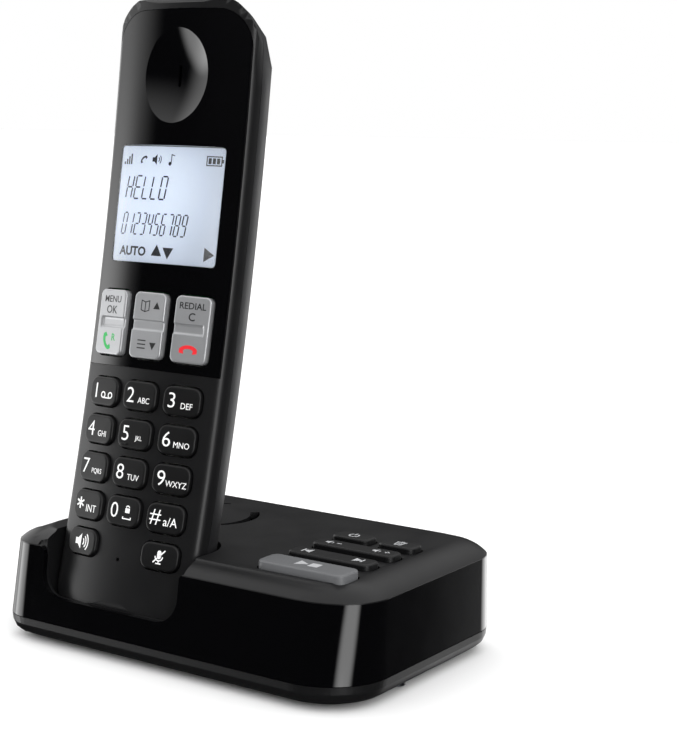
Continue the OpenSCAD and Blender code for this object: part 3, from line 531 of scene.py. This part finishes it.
def follow_surfaces(mesh, surfaces, reshape, near=0.12):
    """Give faces that lie on known curved surfaces those surfaces' normals, then reshape the mesh.

    A face takes the surface that all its corners are near to and whose normal is closest to its
    own. The normal goes through reshape as the cross product of two reshaped tangents.
    """
    points = np.array([v.co[:] for v in mesh.vertices]) / MM
    shaped = reshape(points)
    corner = np.array([loop.vertex_index for loop in mesh.loops])
    starts = np.array([p.loop_start for p in mesh.polygons])
    totals = np.array([p.loop_total for p in mesh.polygons])
    owner = np.repeat(np.arange(len(starts)), totals)
    flat_normals = np.array([p.normal[:] for p in mesh.polygons])
    best = np.full(len(starts), SAME_WAY)
    chosen = np.zeros((len(corner), 3))
    for error, normal in surfaces(points):
        worst = np.maximum.reduceat(np.abs(error)[corner], starts)
        middle = np.add.reduceat(normal[corner], starts)
        middle = middle / np.maximum(np.linalg.norm(middle, axis=1, keepdims=True), 1e-9)
        match = np.where(worst < near, (middle * flat_normals).sum(1), -1)
        take = match > best
        best = np.where(take, match, best)
        chosen[take[owner]] = normal[corner][take[owner]]
    mesh.vertices.foreach_set("co", (shaped * MM).ravel())
    mesh.update()
    normals = np.array([n.vector[:] for n in mesh.corner_normals])
    known = np.linalg.norm(chosen, axis=1) > 0.5
    n, at = chosen[known], points[corner[known]]
    helper = np.where(np.abs(n[:, 2:3]) < 0.9, np.array([[0, 0, 1.0]]), np.array([[1.0, 0, 0]]))
    first = np.cross(helper, n)
    first = first / np.linalg.norm(first, axis=1, keepdims=True)
    second = np.cross(n, first)
    tiny = 0.01
    here = reshape(at)
    turned = np.cross(reshape(at + tiny * first) - here, reshape(at + tiny * second) - here)
    size = np.linalg.norm(turned, axis=1, keepdims=True)
    normals[known] = np.where(size > 1e-7, turned / np.maximum(size, 1e-12), n)
    mesh.normals_split_custom_set(normals.tolist())


def smooth_copy(node, body, surfaces, reshape=lambda points: points):
    """The CAD node's own shape with its corners merged, and smooth where it follows its surfaces."""
    mesh = nodes[node].data.copy()
    work = bmesh.new()
    work.from_mesh(mesh)
    bmesh.ops.remove_doubles(work, verts=work.verts, dist=WELD * MM)
    work.to_mesh(mesh)
    work.free()
    mesh.name = node + "_shell"
    mesh.polygons.foreach_set("use_smooth", [True] * len(mesh.polygons))
    mesh.set_sharp_from_angle(angle=math.radians(FACET_ANGLE))
    follow_surfaces(mesh, surfaces, reshape)
    piece = bpy.data.objects.new(node + "_shell", mesh)
    bpy.context.scene.collection.objects.link(piece)
    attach(piece, body)
    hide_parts(node)
    return piece


def square_up(x, y, sx, sy, r):
    """Shift of a corner of the base, at sides sx and sy, that turns its radius BASE_R into r.

    Beside the new arc a point moves straight out to the side. In its quadrant it moves along the
    ray from the new centre, on which the old arc lies rho away: rho^2 + 2 rho k.q + 2k^2 = BASE_R^2.
    """
    k = BASE_R - r
    px, py = sx * x - (BASE_W / 2 - BASE_R), sy * y - (BASE_D / 2 - BASE_R)
    drop_x = BASE_R - np.sqrt(np.maximum(BASE_R ** 2 - np.clip(px, 0, k) ** 2, 0))
    drop_y = BASE_R - np.sqrt(np.maximum(BASE_R ** 2 - np.clip(py, 0, k) ** 2, 0))
    qx, qy = np.maximum(px - k, 0), np.maximum(py - k, 0)
    length = np.maximum(np.hypot(qx, qy), 1e-9)
    along = k * (qx + qy) / length
    rho = -along + np.sqrt(np.maximum(along ** 2 + BASE_R ** 2 - 2 * k ** 2, 0))
    turned = (px > k) & (py > k)
    beside = (px > 0) & (py > 0) & ~turned
    dx = np.where(turned, qx / length * (r - rho), np.where(beside & (py <= k), drop_y, 0))
    dy = np.where(turned, qy / length * (r - rho), np.where(beside & (px <= k) & (py > k), drop_x, 0))
    return sx * dx, sy * dy


def drafted(points):
    """The base's walls lean in towards the rim, and two of its corners are tighter.

    The lean grows evenly from the seam to the rim, by LEAN_LEFT, LEAN_FRONT or LEAN_BEHIND at the
    rim and not at all on the right. All of it fades out from LEAN_WHOLE to LEAN_GONE in from the
    outline.
    """
    x, y, z = points.T
    hold = 1 - step(edge_distance(x, y, BASE_W, BASE_D, BASE_R), LEAN_WHOLE, LEAN_GONE)
    nx = np.sign(x) * np.maximum(np.abs(x) - (BASE_W / 2 - BASE_R), 0)
    ny = np.sign(y) * np.maximum(np.abs(y) - (BASE_D / 2 - BASE_R), 0)
    length = np.maximum(np.hypot(nx, ny), 1e-9)
    nx, ny = nx / length, ny / length
    up = np.clip((z - SEAM_Z) / (RIM_Z - SEAM_Z), 0, 1)
    dx = -nx * np.where(nx < 0, LEAN_LEFT, 0) * up
    dy = -ny * np.where(ny < 0, LEAN_FRONT, LEAN_BEHIND) * up
    for sx, sy, r in TIGHT_CORNERS:
        ex, ey = square_up(x, y, sx, sy, r)
        dx, dy = dx + ex, dy + ey
    return np.stack((x + dx * hold, y + dy * hold, z), 1)


def rounded_top(points):
    """The handset's top end rounds into its back, and its corners grow rounder with depth.

    Seen from the side, points past an ellipse with half axes ROUND_V along v and ROUND_DEPTH in
    depth move in to it. Seen from the front, the radius of each top corner grows from CORNER_R by
    CORNER_GROWTH per mm of depth, from GROWTH_FROM on and for GROWTH_SPAN at most.
    """
    offset = points - HANDSET_AT
    u, v = offset[:, 0], offset @ AXIS_V
    depth = bow(v) - offset @ AXIS_W
    dv = (v - (TOP_V - ROUND_V)) / ROUND_V
    dd = (depth - (THICK - ROUND_DEPTH)) / ROUND_DEPTH
    far = np.hypot(dv, dd)
    moved = (dv > 0) & (dd > 0) & (far > 1)
    pull = np.where(moved, 1 / np.maximum(far, 1), 1)
    v_new = np.where(moved, TOP_V - ROUND_V + dv * pull * ROUND_V, v)
    d_new = np.where(moved, THICK - ROUND_DEPTH + dd * pull * ROUND_DEPTH, depth)
    r = CORNER_R + CORNER_GROWTH * np.clip(d_new - GROWTH_FROM, 0, GROWTH_SPAN)
    du, dv = np.abs(u) - (HALF_W - r), v_new - (TOP_V - r)
    far = np.hypot(du, dv) / r
    corner = (du > 0) & (dv > 0) & (far > 1)
    far = np.maximum(far, 1)
    u_new = np.where(corner, np.sign(u) * (HALF_W - r + du / far), u)
    v_new = np.where(corner, TOP_V - r + dv / far, v_new)
    w_new = bow(v_new) - d_new
    shift = ((u_new - u)[:, None] * np.array([1.0, 0, 0]) + (v_new - v)[:, None] * AXIS_V
             + (w_new - offset @ AXIS_W)[:, None] * AXIS_W)
    return points + shift * (moved | corner)[:, None]


# ======================= printed marks =======================
# A mark is its points in mm, whose z is 0 underneath and 1 on top, and its faces.
def text_mark(text, height, x, y, wide=1.0, bold=0.0):
    """Letters of that height, centred on x, y."""
    curve = bpy.data.curves.new(text, "FONT")
    curve.body, curve.extrude, curve.offset, curve.resolution_u = text, 0.5, bold, 3
    source = bpy.data.objects.new(text, curve)
    bpy.context.scene.collection.objects.link(source)
    mesh = bpy.data.meshes.new_from_object(source.evaluated_get(bpy.context.evaluated_depsgraph_get()))
    points = np.array([v.co[:] for v in mesh.vertices])
    faces = [list(p.vertices) for p in mesh.polygons]
    bpy.data.objects.remove(source)
    bpy.data.meshes.remove(mesh)
    low, high = points.min(0), points.max(0)
    scale = height / (high[1] - low[1])
    points[:, 0] = x + (points[:, 0] - (low[0] + high[0]) / 2) * scale * wide
    points[:, 1] = y + (points[:, 1] - (low[1] + high[1]) / 2) * scale
    points[:, 2] = points[:, 2] > 0
    return points, faces


def shape_mark(outline, x=0.0, y=0.0):
    """A filled outline, moved to x, y."""
    ring = np.array(outline, float) + (x, y)
    after = np.roll(ring, -1, 0)
    if (ring[:, 0] * after[:, 1] - ring[:, 1] * after[:, 0]).sum() < 0:
        ring = ring[::-1]
    n = len(ring)
    points = np.vstack((np.c_[ring, np.zeros(n)], np.c_[ring, np.ones(n)]))
    sides = [[i, (i + 1) % n, n + (i + 1) % n, n + i] for i in range(n)]
    return points, sides + [list(range(n))[::-1], list(range(n, 2 * n))]


def line_mark(path, width, closed=False):
    """A line of that width along a path, mitred at its bends."""
    p = np.array(path, float)
    before = np.roll(p, 1, 0) if closed else np.vstack((2 * p[:1] - p[1:2], p[:-1]))
    after = np.roll(p, -1, 0) if closed else np.vstack((p[1:], 2 * p[-1:] - p[-2:-1]))
    a = (p - before) / np.linalg.norm(p - before, axis=1, keepdims=True)
    b = (after - p) / np.linalg.norm(after - p, axis=1, keepdims=True)
    m = (a + b) / np.maximum(np.linalg.norm(a + b, axis=1, keepdims=True), 1e-6)
    reach = width / 2 / np.maximum((m * a).sum(1, keepdims=True), 0.5)
    out = np.stack((-m[:, 1], m[:, 0]), 1) * reach
    n = len(p)
    flat = np.vstack((p + out, p - out))
    points = np.vstack((np.c_[flat, np.zeros(2 * n)], np.c_[flat, np.ones(2 * n)]))
    faces = []
    for i in range(n if closed else n - 1):
        j = (i + 1) % n
        faces += [[3 * n + i, 3 * n + j, 2 * n + j, 2 * n + i], [i, j, n + j, n + i],
                  [n + i, n + j, 3 * n + j, 3 * n + i], [j, i, 2 * n + i, 2 * n + j]]
    if not closed:
        k = n - 1
        faces += [[0, n, 3 * n, 2 * n], [n + k, k, 2 * n + k, 3 * n + k]]
    return points, faces


def round_path(x, y, r, a0=0.0, a1=345.0, n=24):
    """Points of a circle's arc about x, y between two angles in degrees."""
    a = np.radians(np.linspace(a0, a1, n))
    return np.stack((x + r * np.cos(a), y + r * np.sin(a)), 1)


def printed(name, marks, place, level, ink, body):
    """Marks as one object, printed INK thick at that level of the place."""
    points, faces, count = [], [], 0
    for mark_points, mark_faces in marks:
        points.append(mark_points)
        faces += [[count + i for i in face] for face in mark_faces]
        count += len(mark_points)
    x, y, z = np.vstack(points).T
    piece = new_piece(name, place(x, y, level(x, y) + z * INK), faces, INKS[ink], body, smooth=0)
    work = bmesh.new()
    work.from_mesh(piece.data)
    bmesh.ops.remove_doubles(work, verts=work.verts, dist=0.001 * MM)
    bmesh.ops.recalc_face_normals(work, faces=work.faces)
    work.to_mesh(piece.data)
    work.free()
    return piece


def flat(z):
    """A level for printed marks that is the same everywhere."""
    return lambda x, y: np.full_like(x, z)


# ======================= marks on the keys =======================
def loudspeaker(x, y, s, waves=2):
    """A small loudspeaker with its sound waves, about s high."""
    body = shape_mark([(-0.55 * s, -0.2 * s), (-0.3 * s, -0.2 * s), (0, -0.5 * s), (0, 0.5 * s),
                       (-0.3 * s, 0.2 * s), (-0.55 * s, 0.2 * s)], x, y)
    arcs = [round_path(x, y, (0.28 + 0.22 * i) * s, -45, 45, 8) for i in range(waves)]
    return [body] + [line_mark(arc, 0.09 * s) for arc in arcs]


def hook(x, y, s, turn):
    """A telephone receiver s long, lying with its ends down, turned by that many degrees."""
    a = np.radians(np.linspace(158, 22, 13))
    outer = np.stack((0.54 * np.cos(a), 0.34 * np.sin(a) - 0.1), 1)
    inner = np.stack((0.3 * np.cos(a), 0.16 * np.sin(a) - 0.1), 1)
    ring = np.vstack((outer, [(0.5, -0.16), (0.24, -0.2)], inner[::-1], [(-0.24, -0.2), (-0.5, -0.16)])) * s
    t = math.radians(turn)
    ring = np.stack((ring[:, 0] * math.cos(t) - ring[:, 1] * math.sin(t),
                     ring[:, 0] * math.sin(t) + ring[:, 1] * math.cos(t)), 1)
    return shape_mark(ring, x, y)


def triangle(x, y, s, turn):
    """A triangle s high that points up, turned by that many degrees."""
    a = np.radians([90 + turn, 210 + turn, 330 + turn])
    return shape_mark(np.stack((0.62 * s * np.cos(a), 0.62 * s * np.sin(a)), 1), x, y)


def envelope_reels(x, y, s):
    """The voicemail mark: two reels joined underneath."""
    reels = [round_path(x + side * 0.5 * s, y, 0.26 * s) for side in (-1, 1)]
    tape = [(x - 0.5 * s, y - 0.27 * s), (x + 0.5 * s, y - 0.27 * s)]
    return [line_mark(reel, 0.12 * s, closed=True) for reel in reels] + [line_mark(tape, 0.12 * s)]


def padlock(x, y, s):
    """A padlock s high."""
    case = [(-0.32 * s, -0.5 * s), (0.32 * s, -0.5 * s), (0.32 * s, 0.02 * s), (-0.32 * s, 0.02 * s)]
    shackle = round_path(x, y + 0.08 * s, 0.22 * s, 0, 180, 10)
    return [shape_mark(case, x, y), line_mark(shackle, 0.11 * s)]


def space_bar(x, y, s):
    """The mark of a space: an open bracket on its back."""
    return [line_mark([(x - s, y + 0.4 * s), (x - s, y), (x + s, y), (x + s, y + 0.4 * s)], 0.3)]


def star(x, y, s):
    """A six-armed star."""
    arms = []
    for turn in (0, 60, 120):
        c, d = math.cos(math.radians(turn + 90)) * s / 2, math.sin(math.radians(turn + 90)) * s / 2
        arms.append(line_mark([(x - c, y - d), (x + c, y + d)], 0.16 * s))
    return arms


def microphone_off(x, y, s):
    """A microphone on its stand, crossed out."""
    capsule = np.vstack((round_path(0, 0.28 * s, 0.15 * s, 0, 180, 8),
                         round_path(0, 0.0, 0.15 * s, 180, 360, 8)))
    return [shape_mark(capsule, x, y),
            line_mark(round_path(x, y + 0.02 * s, 0.29 * s, 180, 360, 10), 0.08 * s),
            line_mark([(x, y - 0.27 * s), (x, y - 0.46 * s)], 0.08 * s),
            line_mark([(x - 0.2 * s, y - 0.46 * s), (x + 0.2 * s, y - 0.46 * s)], 0.08 * s),
            line_mark([(x - 0.42 * s, y - 0.42 * s), (x + 0.42 * s, y + 0.46 * s)], 0.09 * s)]


def key_height(top, soft):
    """A key's top: level, with its edge rounded by soft mm."""
    return lambda x, y, e: top - roll(e, soft) - 0.06 * step(-e, -3.5, 0)


def make_handset_keys():
    """The twelve number keys and the two side keys, with what is printed on them."""
    letters = {"1": None, "2": "ABC", "3": "DEF", "4": "GHI", "5": "JKL", "6": "MNO", "7": "PQRS",
               "8": "TUV", "9": "WXYZ", "star": "INT", "0": None, "hash": "a/A"}
    for i, (name, word) in enumerate(letters.items()):
        place = on_key((i % 3 - 1) * PITCH_U, -(i // 3) * PITCH_V)
        body = "key_" + name
        pad(body + "_cap", KEY_W, KEY_H, KEY_CORNER_R, key_height(KEY_TOP, KEY_EDGE_R), KEY_FOOT, place,
            MATERIALS["key_black"], body, slot="key_black", replaces=[body])
        if name == "star":
            marks = star(-2.8, 0.2, 3.0)
        else:
            marks = [text_mark("#" if name == "hash" else name, 3.9, -2.8, 0.1, bold=-0.006)]
        if word:
            height = {"INT": 1.9, "a/A": 2.3}.get(word, 1.55)
            marks.append(text_mark(word, height, 1.7, height / 2 - 1.85, 0.92))
        elif name == "1":
            marks += envelope_reels(1.5, -0.9, 2.8)
        else:
            marks += padlock(1.6, 0.9, 2.3) + space_bar(1.6, -1.8, 1.3)
        printed(body + "_print", marks, place, flat(KEY_TOP - INK_SUNK), "white", body)
    for side, name in ((-1, "key_speaker"), (1, "key_mute")):
        place = on_key(side * PITCH_U, SIDE_KEY_V)
        pad(name + "_cap", KEY_W, SIDE_KEY_H, KEY_CORNER_R, key_height(KEY_TOP, KEY_EDGE_R), KEY_FOOT, place,
            MATERIALS["key_black"], name, slot="key_black", replaces=[name])
        marks = loudspeaker(-0.2, 0, 4.0, 3) if side < 0 else microphone_off(0, 0, 3.8)
        printed(name + "_print", marks, place, flat(KEY_TOP - INK_SUNK), "white", name)
    ridge = pad_points(2.2, 0.5, 0.24, lambda x, y, e: KEY_TOP + 0.22 - roll(e, 0.2), KEY_TOP - 0.1,
                       lambda x, y, z: on_key(0, -PITCH_V)(x - 2.9, y - 2.75, z), 10, 8)
    new_piece("key_5_ridge", ridge[0], ridge[1], MATERIALS["key_black"], "key_5", slot="key_black")


def rocker_height(closed_left, closed_right):
    """A rocker's top with a groove across it, GROOVE_DEPTH deep, which ends short of its closed sides."""
    def height(x, y, e):
        groove = 1 - step(np.abs(y), 1.05, 1.5)
        if closed_left:
            groove = groove * step(x, -3.9, -3.3)
        if closed_right:
            groove = groove * (1 - step(x, 3.3, 3.9))
        return ROCKER_TOP - roll(e, ROCKER_EDGE_R) - GROOVE_DEPTH * groove
    return height


def make_rockers():
    """The three silver rockers, each with marks above and below its groove."""
    menu = [text_mark("MENU", 1.75, 0, 6.1, bold=0.01), text_mark("OK", 2.1, 0, 3.3, bold=0.01)]
    cover = [(-2.6, 3.9), (-2.6, 6.4), (-1.3, 6.0), (0, 6.4), (0, 3.9), (-1.3, 3.5)]
    book = [line_mark(cover, 0.25, closed=True), line_mark([(-1.3, 3.5), (-1.3, 6.0)], 0.25),
            triangle(2.5, 5.0, 2.0, 0)]
    calls = [line_mark([(-2.6, -4.0 - i), (0.1, -4.0 - i)], 0.3) for i in range(3)]
    calls.append(triangle(2.5, -5.0, 2.0, 180))
    clear = [text_mark("REDIAL", 1.7, 0, 6.1, bold=0.01), text_mark("C", 2.1, 0, 3.3, bold=0.01)]
    talk = [hook(-0.9, -5.2, 4.8, 118), text_mark("R", 1.9, 1.8, -4.0, bold=0.01)]
    marks = {"menu_talk_rocker": [(menu, "black"), (talk, "green")],
             "scroll_rocker": [(book + calls, "black")],
             "clear_end_rocker": [(clear, "black"), ([hook(0, -5.2, 5.2, 0)], "red")]}
    for side, (name, prints) in zip((-1, 0, 1), marks.items()):
        place = on_key(side * ROCKER_PITCH, ROCKER_V)
        pad(name + "_cap", ROCKER_W, ROCKER_H, ROCKER_CORNER_R, rocker_height(side < 0, side > 0), KEY_FOOT,
            place, MATERIALS["silver"], name, columns=40, rows=90, slot="silver", replaces=[name])
        for shapes, ink in prints:
            printed(name + "_" + ink + "_print", shapes, place, flat(ROCKER_TOP - INK_SUNK), ink, name)


def make_base_keys():
    """The keys on the base's top: play, skip, volume, power and delete."""
    gap = 7.2
    skip = [triangle(-gap, 0, 2.6, 90), line_mark([(-gap - 1.6, -1.2), (-gap - 1.6, 1.2)], 0.45),
            triangle(gap, 0, 2.6, -90), line_mark([(gap + 1.6, -1.2), (gap + 1.6, 1.2)], 0.45)]
    volume = loudspeaker(-gap - 0.6, 0, 2.6, 1) + loudspeaker(gap - 0.8, 0, 2.6, 1) + [
        line_mark([(-gap + 1.3, 0), (-gap + 2.7, 0)], 0.4), line_mark([(gap + 1.3, 0), (gap + 2.7, 0)], 0.4),
        line_mark([(gap + 2.0, -0.7), (gap + 2.0, 0.7)], 0.4)]
    play = [triangle(-1.9, 0, 3.4, -90), shape_mark([(0.7, -1.4), (3.5, -1.4), (3.5, 1.4), (0.7, 1.4)])]
    power = [line_mark(round_path(0, -0.1, 1.3, 120, 420, 22), 0.4), line_mark([(0, 0.1), (0, 1.7)], 0.4)]
    bin_marks = [line_mark([(-1.1, 0.9), (-0.8, -1.6), (0.8, -1.6), (1.1, 0.9)], 0.35),
                 line_mark([(-1.5, 1.1), (1.5, 1.1)], 0.35), line_mark([(-0.4, 1.55), (0.4, 1.55)], 0.35),
                 line_mark([(-0.3, 0.5), (-0.25, -1.1)], 0.25), line_mark([(0.3, 0.5), (0.25, -1.1)], 0.25)]
    for name, x, y, w, d, top, marks, slot in (
            ("play_key", 35.2, -24.1, 25.5, 8.5, PLAY_KEY_TOP, play, "play_grey"),
            ("skip_rocker", 34.4, -11.9, 24.6, 6.2, BASE_KEY_TOP, skip, "key_black"),
            ("volume_rocker", 34.6, -1.4, 24.6, 6.0, BASE_KEY_TOP, volume, "key_black"),
            ("power_key", 27.7, 8.3, 11.2, 6.2, BASE_KEY_TOP, power, "key_black"),
            ("delete_key", 41.6, 8.4, 10.7, 6.2, BASE_KEY_TOP, bin_marks, "key_black")):
        place = on_base(x, y, top)
        pad(name + "_cap", w, d, 2.0, key_height(0, 0.6), BASE_KEY_FOOT, place, MATERIALS[slot], name,
            slot=slot, replaces=[name])
        printed(name + "_print", marks, place, flat(-INK_SUNK), "grey", name)


# ======================= display =======================
SEGMENTS = {"0": "abcdef", "1": "bc", "2": "abged", "3": "abgcd", "4": "fgbc", "5": "afgcd", "6": "afgedc",
            "7": "abc", "8": "abcdefg", "9": "abcfgd", "H": "fegbc", "E": "afged", "L": "fed", "O": "abcdef"}


def segment_digit(digit, x, y, w, h, slant=0.14, line=0.36):
    """A seven-segment digit or letter, w by h about x, y, leaning to the right."""
    ends = {"a": ((-1, 1), (1, 1)), "b": ((1, 1), (1, 0)), "c": ((1, 0), (1, -1)), "d": ((-1, -1), (1, -1)),
            "e": ((-1, 0), (-1, -1)), "f": ((-1, 1), (-1, 0)), "g": ((-1, 0), (1, 0))}
    marks = []
    for letter in SEGMENTS[digit]:
        p = np.array(ends[letter], float) * (w / 2, h / 2)
        short = (p[1] - p[0]) / np.linalg.norm(p[1] - p[0]) * 0.2
        p = p + (short, -short)
        p[:, 0] += p[:, 1] * slant
        marks.append(line_mark(p + (x, y), line))
    return marks


def make_display():
    """What the display shows: a row of symbols, a word, a number and scroll arrows."""
    marks = [shape_mark([(-16.2 + 0.8 * i, 10.4), (-15.7 + 0.8 * i, 10.4), (-15.7 + 0.8 * i, 11.1 + 0.7 * i),
                         (-16.2 + 0.8 * i, 11.1 + 0.7 * i)]) for i in range(4)]
    marks.append(hook(-9.2, 11.8, 2.6, 40))
    marks += loudspeaker(-4.6, 11.8, 2.8)
    marks += [line_mark([(0.2, 10.8), (0.2, 13.2), (1.2, 12.9)], 0.25),
              shape_mark(round_path(-0.2, 10.8, 0.5))]
    marks += [line_mark([(11.5, 10.7), (16.1, 10.7), (16.1, 13.0), (11.5, 13.0)], 0.28, closed=True),
              shape_mark([(16.2, 11.4), (16.7, 11.4), (16.7, 12.3), (16.2, 12.3)])]
    marks += [shape_mark([(12.0 + 1.3 * i, 11.1), (12.9 + 1.3 * i, 11.1), (12.9 + 1.3 * i, 12.6),
                          (12.0 + 1.3 * i, 12.6)]) for i in range(3)]
    for i, letter in enumerate("HELLO"):
        marks += segment_digit(letter, -13.2 + 2.9 * i, 4.4, 1.9, 6.0, line=0.42)
    for i, digit in enumerate("0123456789"):
        marks += segment_digit(digit, -13.9 + 2.24 * i, -5.2, 1.35, 5.6)
    marks += [triangle(-1.9, -12.4, 3.2, 0), triangle(1.8, -12.1, 3.2, 180), triangle(14.4, -12.2, 3.4, -90)]
    marks.append(text_mark("AUTO", 2.5, -10.2, -12.4, bold=0.03))
    printed("display_marks", marks, on_key(0, WINDOW_V), flat(DISPLAY_INK), "display", "handset")


# ======================= putting it together =======================
MATERIALS = {
    "satin_black": satin_black(), "gloss_black": piano_black(), "charcoal": charcoal(),
    "key_black": soft_touch_black(), "play_grey": play_grey(), "silver": silver_paint(), "rubber": rubber(),
    "steel": steel(), "circuit_board": circuit_board(), "dark_parts": dark_parts(), "silicone": silicone(),
    "speaker_frame": speaker_frame(), "paper_cone": paper_cone(), "foam": foam(), "gold": gold(),
    "lens": clear_acrylic(), "display_glass": display_film(), "light_guide": light_guide(),
    "cell_jacket": cell_jacket(),
}
INKS = {"white": white_ink(), "grey": grey_ink(), "black": black_ink(), "green": green_ink(),
        "red": red_ink(), "display": display_ink()}


def dress_cad_nodes():
    """Every CAD node takes the material of its slot in the record."""
    for part in frame["record"]["subparts"]:
        materials = nodes[part["node"]].data.materials
        materials.clear()
        materials.append(MATERIALS[part["material_slot"]])


make_camera()
make_world()
make_floor()
dress_cad_nodes()
for node, slot in (("base_top_cover", "satin_black"), ("base_gloss_band", "gloss_black"),
                   ("base_bottom_cover", "satin_black")):
    smooth_copy(node, "base", base_surfaces, drafted)
for node, slot in (("handset_front_shell", "satin_black"), ("handset_fascia", "gloss_black"),
                   ("handset_back_shell", "charcoal")):
    smooth_copy(node, "handset", handset_surfaces, rounded_top)
smooth_copy("battery_door", "battery_door", handset_surfaces)
make_handset_keys()
make_rockers()
make_base_keys()
make_display()
bpy.context.scene.view_settings.view_transform = "Standard"
